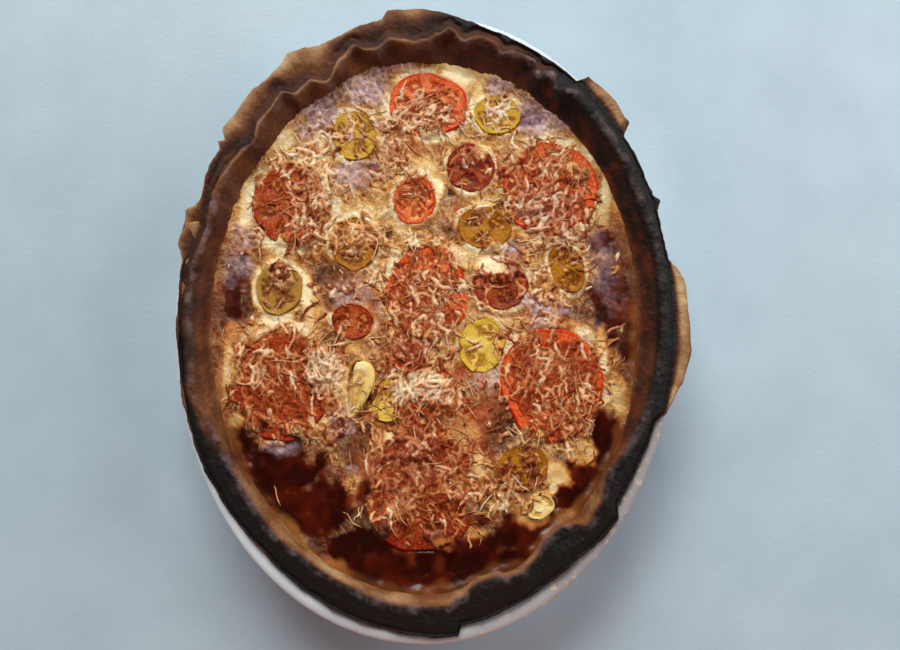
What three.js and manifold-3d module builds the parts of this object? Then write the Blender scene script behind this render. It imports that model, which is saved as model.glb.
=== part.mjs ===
// An oval quiche baked in its own white stoneware dish.
// Millimetres, +Z up, +Y along the dish. The origin lies on the table, under the middle of the dish.

import * as THREE from 'three';
import { mergeVertices } from 'three/addons/utils/BufferGeometryUtils.js';
import Module from 'manifold-3d';

const wasm = await Module();
wasm.setup();

// ---- Driving dimensions -------------------------------------------------------------------

const RIM_X = 136;              // half the dish's width, at the crown of its lip
const RIM_Y = 173;              // half the dish's length, at the crown of its lip
const MEAN_RADIUS = (RIM_X + RIM_Y) / 2;
const DISH_HEIGHT = 47;
const LIP_PROUD = 1.8;          // how far the rounded lip swells out past its crown
const STATIONS = 72;            // steps round the dish, its crust and its filling

const FIT_GAP = 0.45;           // air between the pastry and what it lies against
const POCKET_GAP = 0.3;         // air round a slice sunk in the filling
const PASTRY_THICK = 2.4;       // the rolled pastry where it overhangs the lip
const PASTRY_FLOOR = 9.9;       // top of the pastry base
const FILLING_LEVEL = 37.6;     // top of the baked custard
const FILLING_SWELL = 0.7;      // how far the custard rises and sinks
const FOLD_CREST = 51;          // top of the thin standing fold, along the far edge
const ROLL_CREST = 53.4;        // top of the fat rolled edge, along the near edge
const SLICE_THICK = 4.6;
const SLICE_PROUD = 1.5;        // how far a slice stands above the custard

// ---- Shape helpers ------------------------------------------------------------------------
// A share of 1 is the ellipse of the lip's crown, and 0 is the middle of the dish.

const radians = degrees => degrees * Math.PI / 180;
const inset = millimetres => 1 - millimetres / MEAN_RADIUS;
const mix = (a, b, amount) => a + (b - a) * amount;

// Smooth reading of [degrees, value] keys that go once round the dish.
function roundTheDish(keys) {
  return angle => {
    const degrees = ((angle * 180 / Math.PI) % 360 + 360) % 360;
    let next = keys.findIndex(key => key[0] > degrees);
    if (next < 0) next = 0;
    const [fromDegrees, fromValue] = keys[(next + keys.length - 1) % keys.length];
    const [toDegrees, toValue] = keys[next];
    const span = (toDegrees - fromDegrees + 360) % 360;
    const along = ((degrees - fromDegrees + 360) % 360) / span;
    return mix(fromValue, toValue, THREE.MathUtils.smoothstep(along, 0, 1));
  };
}

// Straight-line reading of [share, height] points, from the middle of the dish outwards.
function heightAlong(points, share) {
  const next = points.findIndex(point => point[0] >= share);
  if (next < 0) return points[points.length - 1][1];
  if (next === 0) return points[0][1];
  const [fromShare, fromHeight] = points[next - 1];
  const [toShare, toHeight] = points[next];
  return mix(fromHeight, toHeight, (share - fromShare) / (toShare - fromShare));
}

function geometryFrom(positions, triangles) {
  const geometry = new THREE.BufferGeometry();
  geometry.setAttribute('position', new THREE.Float32BufferAttribute(positions, 3));
  geometry.setIndex(triangles);
  return geometry;
}

// A closed body from a section that starts on the axis below and ends on the axis above.
// sectionAt(angle) gives its [share, height] points; a height may also depend on the place.
function ovalBody(sectionAt) {
  const positions = [];
  const triangles = [];
  const sections = [];
  for (let station = 0; station < STATIONS; station++) {
    sections.push(sectionAt(2 * Math.PI * station / STATIONS));
  }
  const last = sections[0].length - 1;
  positions.push(0, 0, sections[0][0][1]);
  sections.forEach((section, station) => {
    const angle = 2 * Math.PI * station / STATIONS;
    for (let ring = 1; ring < last; ring++) {
      const [share, height] = section[ring];
      positions.push(RIM_X * share * Math.cos(angle), RIM_Y * share * Math.sin(angle), height);
    }
  });
  positions.push(0, 0, sections[0][last][1]);
  const rings = last - 1;
  const top = positions.length / 3 - 1;
  const vertex = (station, ring) => 1 + (station % STATIONS) * rings + ring - 1;
  for (let station = 0; station < STATIONS; station++) {
    triangles.push(0, vertex(station + 1, 1), vertex(station, 1));
    for (let ring = 1; ring < rings; ring++) {
      const [a, b] = [vertex(station, ring), vertex(station + 1, ring)];
      const [c, d] = [vertex(station + 1, ring + 1), vertex(station, ring + 1)];
      triangles.push(a, b, c, a, c, d);
    }
    triangles.push(vertex(station, rings), vertex(station + 1, rings), top);
  }
  return geometryFrom(positions, triangles);
}

function toSolid(geometry) {
  const bare = geometry.clone();
  bare.deleteAttribute('normal');
  bare.deleteAttribute('uv');
  const merged = mergeVertices(bare, 1e-4);
  return new wasm.Manifold(new wasm.Mesh({
    numProp: 3,
    vertProperties: new Float32Array(merged.attributes.position.array),
    triVerts: new Uint32Array(merged.index.array),
  }));
}

function fromSolid(solid) {
  const mesh = solid.getMesh();
  return geometryFrom(Array.from(mesh.vertProperties), Array.from(mesh.triVerts));
}

function finish(colour, roughness) {
  return new THREE.MeshStandardMaterial({ color: colour, roughness, metalness: 0 });
}

function named(name, geometry, material) {
  const shaded = geometry.clone();
  shaded.computeVertexNormals();
  const mesh = new THREE.Mesh(shaded, material);
  mesh.name = name;
  return mesh;
}

// ---- Finishes -----------------------------------------------------------------------------

const glazedWhite = finish('#e4e3df', 0.2);
const bakedPastry = finish('#4a2b1c', 0.7);
const bakedCustard = finish('#c79a58', 0.5);
const redFlesh = finish('#b93c22', 0.4);
const yellowFlesh = finish('#c2a03a', 0.4);

// ---- The dish -----------------------------------------------------------------------------
// A flat base, a sloping wall and a rounded lip.

const DISH_OUTSIDE = [
  [0, 0],
  [inset(34), 0],
  [inset(30.5), 1.4],
  [inset(28), 5],
  [inset(3.4), 38.5],
  [inset(0.6 - LIP_PROUD), 42.6],
  [inset(-LIP_PROUD), 45],
];
const DISH_INSIDE = [
  [0, 6.5],
  [inset(36), 7],
  [inset(31), 11],
  [inset(9.5), 40],
  [inset(6), 45.6],
  [inset(3.5), DISH_HEIGHT],
];

function dishSection() {
  return [...DISH_OUTSIDE, [inset(0.4), DISH_HEIGHT - 0.4], ...[...DISH_INSIDE].reverse()];
}

// ---- The pastry crust ---------------------------------------------------------------------
// It lines the dish, leans inward above the filling as a fold or a roll, and a thin flap of it
// lies out over the lip. All keys are [degrees from +X, share].

const flapEdge = roundTheDish([
  [0, 1.057], [5, 1.055], [7, 1.04], [10, 1.0], [19, 1.008], [21, 1.028], [24, 1.008],
  [35, 1.01], [37.5, 1.05], [42, 1.055], [49, 1.04], [51.5, 0.992], [75, 0.99], [84, 1.015],
  [98.5, 1.026], [101, 1.0], [117, 1.0], [124, 1.045], [127, 1.026], [135, 1.034],
  [144, 1.04], [147, 1.01], [154, 1.008], [160, 1.0], [162, 1.03], [167, 1.03], [171, 1.0],
  [205, 0.995], [212, 0.987], [222, 0.975], [230, 0.964], [245, 0.967], [262, 0.975],
  [275, 0.99], [279.5, 0.964], [300, 0.96], [308, 0.966], [319, 0.99], [323, 0.962],
  [332, 0.97], [339, 0.98], [343, 1.02], [348, 1.05], [353, 1.066], [358, 1.066],
]);
const crestLine = roundTheDish([
  [0, 0.962], [30, 0.966], [52, 0.955], [60, 0.955], [66, 0.945], [69, 0.921], [75, 0.949],
  [80, 0.922], [84, 0.952], [90, 0.912], [95, 0.915], [100, 0.924], [104, 0.903],
  [109, 0.94], [113, 0.915], [118.5, 0.872], [123, 0.908], [127, 0.905], [130, 0.945],
  [138, 0.93], [142, 0.908], [147, 0.932], [155, 0.948], [163, 0.93], [172, 0.945],
  [180, 0.953], [195, 0.95], [202, 0.926], [208, 0.908], [225, 0.9], [245, 0.898],
  [262, 0.904], [275, 0.908], [279, 0.893], [285, 0.863], [291, 0.866], [295, 0.892],
  [299, 0.88], [305, 0.853], [310, 0.864], [314, 0.925], [319, 0.917], [324, 0.889],
  [331, 0.911], [340, 0.936], [350, 0.955],
]);
const rollInside = roundTheDish([
  [0, 0.928], [30, 0.925], [50, 0.922], [62, 0.93], [69, 0.9], [75, 0.925], [80, 0.9],
  [84, 0.93], [90, 0.89], [100, 0.9], [104, 0.88], [109, 0.915], [113, 0.893],
  [118.5, 0.85], [123, 0.888], [130, 0.92], [142, 0.885], [150, 0.915], [163, 0.895],
  [172, 0.915], [190, 0.905], [207, 0.884], [215, 0.876], [240, 0.874], [262, 0.88],
  [275, 0.884], [279, 0.868], [285, 0.841], [291, 0.845], [295, 0.871], [299, 0.86],
  [305, 0.833], [310, 0.844], [314, 0.9], [319, 0.893], [324, 0.867], [331, 0.89],
  [345, 0.918],
]);
const fillingEdge = roundTheDish([
  [0, 0.872], [20, 0.88], [45, 0.875], [55, 0.865], [75, 0.86], [100, 0.86], [107, 0.875],
  [118, 0.862], [135, 0.866], [155, 0.88], [208, 0.88], [225, 0.866], [250, 0.874],
  [276, 0.874], [286, 0.858], [295, 0.874], [305, 0.855], [315, 0.876], [335, 0.88],
  [350, 0.872],
]);
// 1 where the edge is a thin standing fold, 0 where it is a fat roll.
const foldAmount = roundTheDish([[0, 0], [52, 0], [62, 1], [172, 1], [186, 0]]);

const PASTRY_UNDER_SHARES = [
  0, inset(36.6), inset(31.4), inset(10), inset(7.4), inset(6.2), inset(3.7),
];
const EDGE_STEP = 0.004;        // share between the points that round the flap's edge
const CROWDED_STEP = 0.0015;    // the same, where the flap is too short for all its points

function pastryUnderside(edge) {
  const points = PASTRY_UNDER_SHARES.map((share, index) => {
    const room = edge - CROWDED_STEP * (PASTRY_UNDER_SHARES.length - index + 1);
    const kept = Math.min(share, room);
    return [kept, heightAlong(DISH_INSIDE, kept) + FIT_GAP];
  });
  points.push([edge - CROWDED_STEP, heightAlong(DISH_INSIDE, edge) + FIT_GAP]);
  return points;
}

function pastrySection(angle) {
  const edge = flapEdge(angle);
  const crest = crestLine(angle);
  const inside = rollInside(angle);
  const foot = fillingEdge(angle);
  const fold = foldAmount(angle);
  const under = heightAlong(DISH_INSIDE, edge) + FIT_GAP;
  const crestHeight = mix(ROLL_CREST, FOLD_CREST, fold);
  // The flap ends where the roll or the fold stands up from it.
  const rollOutside = Math.min(edge - 3 * EDGE_STEP, mix(0.998, crest + 0.032, fold));
  const flapTop = DISH_HEIGHT + FIT_GAP + PASTRY_THICK;
  return [
    ...pastryUnderside(edge),
    [edge, mix(under, flapTop, 0.55)],
    [edge - EDGE_STEP, flapTop],
    [rollOutside, flapTop - mix(0.2, 1.1, fold)],
    [mix(rollOutside, crest, 0.4), mix(crestHeight - 0.9, crestHeight - 1.6, fold)],
    [crest, crestHeight],
    [mix(crest, inside, 0.65), crestHeight - mix(0.9, 0.5, fold)],
    [inside, crestHeight - 4.6],
    [mix(inside, foot, 0.6), mix(FILLING_LEVEL, crestHeight, 0.34)],
    [foot, FILLING_LEVEL + 0.6],
    [inset(33.5), 13],
    [inset(39), PASTRY_FLOOR + 0.4],
    [0, PASTRY_FLOOR],
  ];
}

// ---- The slices ---------------------------------------------------------------------------
// Each one is [name, x, y, half width, half length, turn, lean, lift]. The turn is about +Z and
// the lean about the slice's own length, in degrees; the lift raises it out of the custard.

const SLICES = [
  ['tomato_large_1', 0.9, 123.6, 23, 19.5, 0, 0, 0.2],
  ['tomato_large_2', -76.5, 62.8, 22.5, 25, 8, 0, 0],
  ['tomato_large_3', 71.6, 72.8, 26.8, 28.6, -20, 0, 0.2],
  ['tomato_large_4', 1.3, 12.8, 22.8, 26.5, 0, 3, 0.3],
  ['tomato_large_5', -80.2, -40.5, 28.6, 30.6, 15, 0, 0],
  ['tomato_large_6', 70.6, -39.4, 29.2, 31.6, 0, 0, 0.2],
  ['tomato_large_7', -0.4, -97.9, 32.4, 32.6, 0, 0, -0.1],
  ['tomato_small_1', -6.9, 66.3, 12, 14.8, -8, 0, 0.2],
  ['tomato_small_2', 25.8, 84.8, 13.4, 15.2, 10, 0, 0.1],
  ['tomato_small_3', 42.4, 16.8, 15.4, 14.8, 0, 4, 0],
  ['tomato_small_4', -41.1, -4.8, 12.2, 9.6, -15, 0, 0],
  ['tomato_small_5', -9.7, -24.2, 10.4, 9, 10, 0, 0.4],
  ['tomato_small_6', 3.2, -47.4, 11.4, 9.8, 0, 0, 0.3],
  ['yellow_tomato_1', -41.9, 104, 13, 15.8, 12, 0, 0.4],
  ['yellow_tomato_2', 41, 116.8, 13.2, 12.4, 0, 0, 0],
  ['yellow_tomato_3', -40.2, 40.2, 13.4, 15.8, 0, 0, 0.1],
  ['yellow_tomato_4', -83.1, 14.5, 13.4, 14.8, 0, 0, -0.1],
  ['yellow_tomato_5', 33, 49.2, 15.8, 12, -6, 0, 0],
  ['yellow_tomato_6', 79.8, 26.4, 10, 14.6, 18, 9, 0.6],
  ['yellow_tomato_7', 31, -17.8, 12.4, 16, -14, 0, 0.1],
  ['yellow_tomato_8', -20, -49, 8.6, 12.8, -12, 8, 0.8],
  ['yellow_tomato_9', 53.4, -85.2, 14, 12.6, 20, 0, 0.3],
  ['yellow_tomato_10', 62.6, -105.6, 8, 6.6, 25, 0, 0.3],
  ['yellow_tomato_folded', -36.6, -43.4, 5.6, 16.6, -12, 6, 2.6],
];
const LARGE_SLICE = 18;         // a half width from which a slice is drawn with more sides
const BEND_OF_FOLDED = 4;       // how far the folded slice bows, like a bean

function sliceBody([name, , , halfWidth, halfLength], index, grow, headroom) {
  const sides = halfWidth > LARGE_SLICE ? 18 : 12;
  const bow = name.endsWith('folded') ? BEND_OF_FOLDED : 0;
  const bottom = -SLICE_THICK - grow;
  const positions = [0, 0, bottom];
  const triangles = [];
  const foot = headroom > 0 ? 1 : 0.97;
  const ringShares = [[foot, bottom], [1, headroom - 0.5], [0.84, headroom]];
  for (const [share, height] of ringShares) {
    for (let side = 0; side < sides; side++) {
      const angle = 2 * Math.PI * side / sides;
      const uneven = 1 + 0.03 * Math.sin(2 * angle + index) + 0.02 * Math.sin(3 * angle + 2 * index);
      const x = (halfWidth * share * uneven + grow) * Math.cos(angle);
      const y = (halfLength * share * uneven + grow) * Math.sin(angle);
      positions.push(x - bow * (y / halfLength) ** 2 + bow / 2, y, height);
    }
  }
  positions.push(bow / 2, 0, headroom - (headroom > 0 ? 0 : 0.5));
  const top = positions.length / 3 - 1;
  for (let side = 0; side < sides; side++) {
    const next = (side + 1) % sides;
    triangles.push(0, 1 + next, 1 + side);
    for (let ring = 0; ring < ringShares.length - 1; ring++) {
      const [a, b] = [1 + ring * sides + side, 1 + ring * sides + next];
      triangles.push(a, b, b + sides, a, b + sides, a + sides);
    }
    triangles.push(1 + 2 * sides + side, 1 + 2 * sides + next, top);
  }
  return geometryFrom(positions, triangles);
}

function placeSlice(geometry, [, x, y, , , turn, lean, lift]) {
  geometry.rotateY(radians(lean));
  geometry.rotateZ(radians(turn));
  geometry.translate(x, y, swellAt(x, y) + SLICE_PROUD + lift);
  return geometry;
}

// ---- The custard filling ------------------------------------------------------------------

// The custard puffs up and sinks in broad, low swells.
function swellAt(x, y) {
  const along = Math.sin(x / 31 + 0.6) * Math.cos(y / 37 - 0.4);
  const across = Math.sin((x + y) / 53 + 1.9);
  return FILLING_LEVEL + FILLING_SWELL * (0.6 * along + 0.4 * across);
}

const FILLING_RINGS = [0.7, 0.36];
const FILLING_STEP = 0.01;      // how far inside the pastry the custard's edge stays

function fillingSection(angle) {
  const edge = fillingEdge(angle) - FILLING_STEP;
  const topAt = share => swellAt(RIM_X * share * Math.cos(angle), RIM_Y * share * Math.sin(angle));
  return [
    [0, PASTRY_FLOOR + FIT_GAP],
    [inset(39.8), PASTRY_FLOOR + 0.4 + FIT_GAP],
    [inset(34.7), 13.6],
    [edge, FILLING_LEVEL - 0.4],
    [edge - 0.02, FILLING_LEVEL],
    ...FILLING_RINGS.map(share => [share, topAt(share)]),
    [0, swellAt(0, 0)],
  ];
}

function fillingWithPockets() {
  let filling = toSolid(ovalBody(fillingSection));
  SLICES.forEach((slice, index) => {
    const pocket = placeSlice(sliceBody(slice, index, POCKET_GAP, 12), slice);
    filling = filling.subtract(toSolid(pocket));
  });
  return fromSolid(filling);
}

// ---- The whole ----------------------------------------------------------------------------

const quiche = new THREE.Group();
quiche.add(named('baking_dish', ovalBody(dishSection), glazedWhite));
quiche.add(named('pastry_crust', ovalBody(pastrySection), bakedPastry));
quiche.add(named('custard_filling', fillingWithPockets(), bakedCustard));
SLICES.forEach((slice, index) => {
  const flesh = slice[0].startsWith('tomato') ? redFlesh : yellowFlesh;
  quiche.add(named(slice[0], placeSlice(sliceBody(slice, index, 0, 0), slice), flesh));
});

export default quiche;
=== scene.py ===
"""An oval quiche in its white baking dish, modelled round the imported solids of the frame.

Shapes are worked out in millimetres and turned into metres as each mesh is made.
"""

import math

import bpy
import numpy as np
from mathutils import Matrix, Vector
from mathutils.bvhtree import BVHTree


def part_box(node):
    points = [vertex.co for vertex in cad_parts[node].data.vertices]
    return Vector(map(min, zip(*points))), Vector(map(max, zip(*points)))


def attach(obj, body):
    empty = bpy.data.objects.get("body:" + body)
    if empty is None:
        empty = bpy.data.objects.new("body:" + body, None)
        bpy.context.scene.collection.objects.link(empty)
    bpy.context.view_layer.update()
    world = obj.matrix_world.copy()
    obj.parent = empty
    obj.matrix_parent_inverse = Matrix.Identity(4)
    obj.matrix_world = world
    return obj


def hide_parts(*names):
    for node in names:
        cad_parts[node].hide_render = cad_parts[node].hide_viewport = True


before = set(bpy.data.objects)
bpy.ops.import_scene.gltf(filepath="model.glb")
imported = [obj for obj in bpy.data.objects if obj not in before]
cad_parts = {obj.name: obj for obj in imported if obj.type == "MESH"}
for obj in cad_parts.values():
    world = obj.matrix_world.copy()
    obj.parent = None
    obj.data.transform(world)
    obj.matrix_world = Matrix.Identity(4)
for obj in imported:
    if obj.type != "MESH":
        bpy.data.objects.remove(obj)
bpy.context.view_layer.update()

# ---- Sizes from the frame -----------------------------------------------------------------

MM = 0.001


def node_box(name):
    """Lowest and highest corner of a solid, in millimetres."""
    low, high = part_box(name)
    return np.array(low) / MM, np.array(high) / MM


DISH_LOW, DISH_HIGH = node_box("baking_dish")
LIP_SHARE = 1.0117  # the rounded lip swells out past the ellipse of its own crown
RIM_X, RIM_Y = (DISH_HIGH - DISH_LOW)[:2] / 2 / LIP_SHARE
LIP = DISH_HIGH[2]
MEAN_RADIUS = (RIM_X + RIM_Y) / 2
CREST = node_box("pastry_crust")[1][2]
SWELL = 0.7
LEVEL = node_box("custard_filling")[1][2] - SWELL
SLICES = sorted(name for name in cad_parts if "tomato" in name)
RED_SLICES = [name for name in SLICES if not name.startswith("yellow")]


# ---- Arithmetic ---------------------------------------------------------------------------

CLOUD_CELLS = 64


def mix(a, b, amount):
    return a + (b - a) * amount


def ease(low, high, value):
    """0 at low and 1 at high, with soft ends; low may be the larger one."""
    share = np.clip((value - low) / (high - low), 0, 1)
    return share * share * (3 - 2 * share)


def inset(millimetres):
    """The share of the lip's ellipse that lies so far inside the lip."""
    return 1 - millimetres / MEAN_RADIUS


def cloud(x, y, size, seed, octaves=1):
    """Soft random values, about -1 to 1, in lumps about `size` across."""
    total = 0.0
    for octave in range(octaves):
        shape = (CLOUD_CELLS, CLOUD_CELLS)
        table = np.random.default_rng(seed + 97 * octave).uniform(-1, 1, shape)
        u = x * 2 ** octave / size + 3.7 * octave
        v = y * 2 ** octave / size + 1.3 * octave
        i = np.floor(u).astype(int)
        j = np.floor(v).astype(int)
        a = ease(0, 1, u - i)
        b = ease(0, 1, v - j)
        table = np.pad(table, (0, 1), mode="wrap")
        i = i % CLOUD_CELLS
        j = j % CLOUD_CELLS
        near = mix(table[i, j], table[i + 1, j], a)
        far = mix(table[i, j + 1], table[i + 1, j + 1], a)
        total = total + mix(near, far, b) / 2 ** octave
    return total


def ridges(x, y, size, seed):
    """Thin branching crests, 0 to 1, like threads melted into a surface."""
    bend_x = x + 0.6 * size * cloud(x, y, 2.2 * size, seed + 5)
    bend_y = y + 0.6 * size * cloud(x, y, 2.2 * size, seed + 6)
    return (1 - np.abs(cloud(bend_x, bend_y, size, seed, 2))) ** 4


def around(angle, keys, soft=True):
    """Reads {degrees from +X: value} keys that go once round the dish."""
    degrees, values = np.array(list(keys.items()), float).T
    degrees = np.append(degrees, degrees[0] + 360)
    values = np.append(values, values[0])
    here = (np.degrees(angle) - degrees[0]) % 360 + degrees[0]
    key = np.clip(np.searchsorted(degrees, here, side="right") - 1, 0, len(degrees) - 2)
    along = (here - degrees[key]) / (degrees[key + 1] - degrees[key])
    if soft:
        along = ease(0, 1, along)
    return mix(values[key], values[key + 1], along)


def spots(x, y, places, seed, ragged=0.3):
    """How far each point lies in any (x, y, half width, half length, strength) spot."""
    wobble = 1 + ragged * cloud(x, y, 8, seed, 3)
    deepest = np.zeros(np.shape(x))
    for spot_x, spot_y, half_width, half_length, strength in places:
        distance = np.hypot((x - spot_x) / half_width, (y - spot_y) / half_length) * wobble
        deepest = np.maximum(deepest, strength * ease(1.4, 0.55, distance))
    return deepest


# ---- Finishes -----------------------------------------------------------------------------

class Value:
    """One output of a finish's nodes, which plain arithmetic can use."""

    def __init__(self, finish, socket):
        self.finish = finish
        self.socket = socket

    def _maths(self, operation, *operands):
        settings = {"operation": operation}
        return self.finish.node("ShaderNodeMath", settings, dict(enumerate(operands)))

    def __add__(self, other):
        return self._maths("ADD", self, other)

    def __sub__(self, other):
        return self._maths("SUBTRACT", self, other)

    def __rsub__(self, other):
        return self._maths("SUBTRACT", other, self)

    def __mul__(self, other):
        return self._maths("MULTIPLY", self, other)

    __radd__ = __add__
    __rmul__ = __mul__


class Finish:
    """A node material: colours, roughness and relief all come from its nodes."""

    def __init__(self, name, owner=None):
        self.material = owner or bpy.data.materials.new(name)
        self.material.use_nodes = True
        self.tree = self.material.node_tree
        self.tree.nodes.clear()
        self.place = self.node("ShaderNodeTexCoord", out="Object")

    def node(self, kind, settings=None, sockets=None, out=0):
        made = self.tree.nodes.new(kind)
        for key, value in (settings or {}).items():
            if key == "stops":
                self._set_stops(made.color_ramp.elements, value)
            else:
                setattr(made, key, value)
        for key, value in (sockets or {}).items():
            if isinstance(value, Value):
                self.tree.links.new(value.socket, made.inputs[key])
            else:
                made.inputs[key].default_value = value
        return None if out is None else Value(self, made.outputs[out])

    @staticmethod
    def _set_stops(elements, stops):
        while len(elements) < len(stops):
            elements.new(1.0)
        for element, (position, colour) in zip(elements, stops):
            element.position = position
            element.color = (*colour, 1)

    def mask(self, name):
        return self.node("ShaderNodeAttribute", {"attribute_name": name}, out="Fac")

    def grain(self, size, detail=3.0, roughness=0.55, distortion=0.0):
        """Noise from 0 to 1 whose lumps are about `size` millimetres across."""
        return self.node("ShaderNodeTexNoise", None, {
            "Vector": self.place, "Scale": 1 / (size * MM), "Detail": detail,
            "Roughness": roughness, "Distortion": distortion}, out="Fac")

    def cells(self, size):
        return self.node("ShaderNodeTexVoronoi", None,
                         {"Vector": self.place, "Scale": 1 / (size * MM)}, out="Distance")

    def threads(self, size, width=0.05):
        """Thin branching lines, 1 along their middles, like strands melted together."""
        offset = self.grain(size, detail=2, distortion=0.9) - 0.5
        distance = self.node("ShaderNodeMath", {"operation": "ABSOLUTE"}, {0: offset})
        return self.between(distance, width, 0.0)

    def between(self, value, low, high):
        """0 where value is low and 1 where it is high, with soft ends."""
        return self.node("ShaderNodeMapRange", {"interpolation_type": "SMOOTHSTEP"},
                         {"Value": value, "From Min": low, "From Max": high})

    def ramp(self, value, stops):
        return self.node("ShaderNodeValToRGB", {"stops": stops}, {"Fac": value}, out="Color")

    def blend(self, first, second, amount, how="MIX"):
        settings = {"data_type": "RGBA", "blend_type": how}
        first = first if isinstance(first, Value) else (*first, 1)
        second = second if isinstance(second, Value) else (*second, 1)
        return self.node("ShaderNodeMix", settings, {0: amount, 6: first, 7: second}, out=2)

    def coats(self, colour, *coats):
        """Further colours laid over the first, each with its amount."""
        for paint, amount in coats:
            colour = self.blend(colour, paint, amount)
        return colour

    def relief(self, height, depth, normal=None):
        """Bumps `depth` millimetres deep where height goes from 0 to 1."""
        sockets = {"Strength": 1.0, "Distance": depth * MM, "Height": height}
        if normal:
            sockets["Normal"] = normal
        return self.node("ShaderNodeBump", None, sockets)

    def shade(self, colour, roughness, normal, constants=None):
        sockets = {"Base Color": colour, "Roughness": roughness, "Normal": normal}
        sockets.update(constants or {})
        shader = self.node("ShaderNodeBsdfPrincipled", None, sockets)
        self.node("ShaderNodeOutputMaterial", None, {"Surface": shader}, out=None)
        return self.material


def rgb(red, green, blue):
    """A colour as seen on a screen, 0 to 255, turned into the light that it reflects."""
    shares = np.array([red, green, blue]) / 255
    linear = np.where(shares <= 0.04045, shares / 12.92, ((shares + 0.055) / 1.055) ** 2.4)
    return tuple(float(share) for share in linear)


def white_glaze():
    finish = Finish("white_glaze")
    height = finish.node("ShaderNodeSeparateXYZ", None, {0: finish.place}, out="Z")
    bare = finish.between(height, 1.6 * MM, 0.9 * MM)
    pooled = finish.grain(38, detail=2)
    glaze = finish.ramp(pooled, [(0.3, rgb(206, 219, 227)), (0.7, rgb(218, 231, 239))])
    baked_on = finish.between(finish.grain(5, detail=5), 0.68, 0.78) * 0.5
    dull = finish.mask("dull")
    crumbs = finish.between(finish.grain(4, detail=5), 0.56, 0.64)
    clay = finish.ramp(finish.grain(0.9), [(0.35, rgb(178, 158, 132)), (0.65, rgb(205, 188, 163))])
    colour = finish.coats(
        # The grey coat is painted shade on the lip; the cream crumbs lie only where that shade is.
        glaze, (rgb(152, 146, 146), dull * 0.85), (rgb(222, 208, 176), crumbs * dull * 0.6),
        (rgb(150, 110, 70), baked_on * finish.mask("soiled")), (clay, bare))
    roughness = 0.13 + 0.1 * finish.grain(16) + bare * 0.5
    normal = finish.relief(finish.grain(11, detail=1), 0.12)
    return finish.shade(colour, roughness, normal, {"IOR": 1.5})


PASTRY_TONES = [
    (0.0, rgb(236, 218, 178)), (0.2, rgb(204, 178, 134)), (0.38, rgb(166, 130, 88)),
    (0.55, rgb(116, 72, 38)), (0.7, rgb(80, 42, 22)), (0.85, rgb(40, 20, 13)),
    (1.0, rgb(8, 5, 5)),
]


def baked_pastry():
    finish = Finish("baked_pastry")
    patches = finish.grain(9, detail=4) - 0.5
    flecks = finish.grain(1.6, detail=4, roughness=0.65) - 0.5
    toast = finish.mask("toast")
    colour = finish.ramp(toast + patches * 0.22 + flecks * 0.18, PASTRY_TONES)
    rusty = finish.between(finish.grain(14, detail=3), 0.45, 0.7) * finish.mask("rust")
    # A lavender-grey painted highlight along the crest's ridge, in patches.
    painted_highlight = finish.mask("ash") * finish.between(finish.grain(7, detail=4), 0.42, 0.66)
    colour = finish.coats(
        colour, (rgb(124, 44, 10), rusty * 0.7), (rgb(132, 112, 114), painted_highlight * 0.6))
    roughness = 0.68 - 0.12 * finish.between(toast, 0.82, 1.0) + 0.12 * flecks
    crumb = finish.relief(finish.grain(0.9, detail=5, roughness=0.6), 0.5)
    normal = finish.relief(finish.cells(2.6), 0.35, crumb)
    return finish.shade(colour, roughness, normal, {"Specular IOR Level": 0.26})


CUSTARD_TONES = [
    (0.0, rgb(254, 242, 200)), (0.15, rgb(238, 204, 140)), (0.3, rgb(214, 158, 78)),
    (0.48, rgb(176, 102, 36)), (0.64, rgb(124, 54, 13)), (0.8, rgb(80, 20, 4)),
    (1.0, rgb(44, 7, 2)),
]


def baked_custard():
    finish = Finish("baked_custard")
    patches = finish.grain(6, detail=4) - 0.5
    flecks = finish.grain(1.3, detail=4, roughness=0.65) - 0.5
    wet = finish.mask("wet")
    cheesy = finish.mask("cheesy")
    mottle = patches * 0.34 + flecks * 0.22
    colour = finish.ramp(finish.mask("bake") + mottle * (1.0 - 0.6 * wet), CUSTARD_TONES)
    # Scorched cheese: dark toasted browns, and pale lavender tones that are a painted reflection of
    # the cool light.
    scorch_and_sheen = finish.ramp(finish.grain(2.6, detail=5, roughness=0.7), [
        (0.3, rgb(84, 42, 38)), (0.41, rgb(150, 110, 110)), (0.53, rgb(198, 170, 182)),
        (0.66, rgb(234, 222, 236))])
    strands = finish.between(finish.threads(7, 0.06) + finish.threads(3.4, 0.06) * 0.7, 0.1, 1.0)
    hollow_shade_patches = finish.between(finish.grain(11, detail=4), 0.42, 0.62)
    colour = finish.coats(
        colour, (rgb(190, 78, 34), finish.mask("rosy") * (0.7 + patches * 0.8)),
        (rgb(150, 96, 40), finish.mask("gold") * 0.75), (scorch_and_sheen, finish.mask("scorch") * 0.95),
        # Painted shade: darker brown in the hollows between the melted strands, in patches.
        (rgb(140, 56, 16), cheesy * (1.0 - strands) * hollow_shade_patches * 0.4),
        (rgb(250, 200, 128), cheesy * strands * 0.45),
        (rgb(250, 212, 156), finish.mask("crest") * 0.5))
    roughness = 0.5 - 0.27 * wet + 0.15 * flecks
    raised = cheesy * strands + flecks * (0.3 - 0.25 * wet) + patches * (1.2 - 0.9 * wet)
    normal = finish.relief(raised, 0.7)
    return finish.shade(colour, roughness, normal, {
        "Subsurface Weight": 0.12, "Subsurface Radius": (1.0, 0.5, 0.2),
        "Subsurface Scale": 1.2 * MM, "Specular IOR Level": 0.28})


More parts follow.
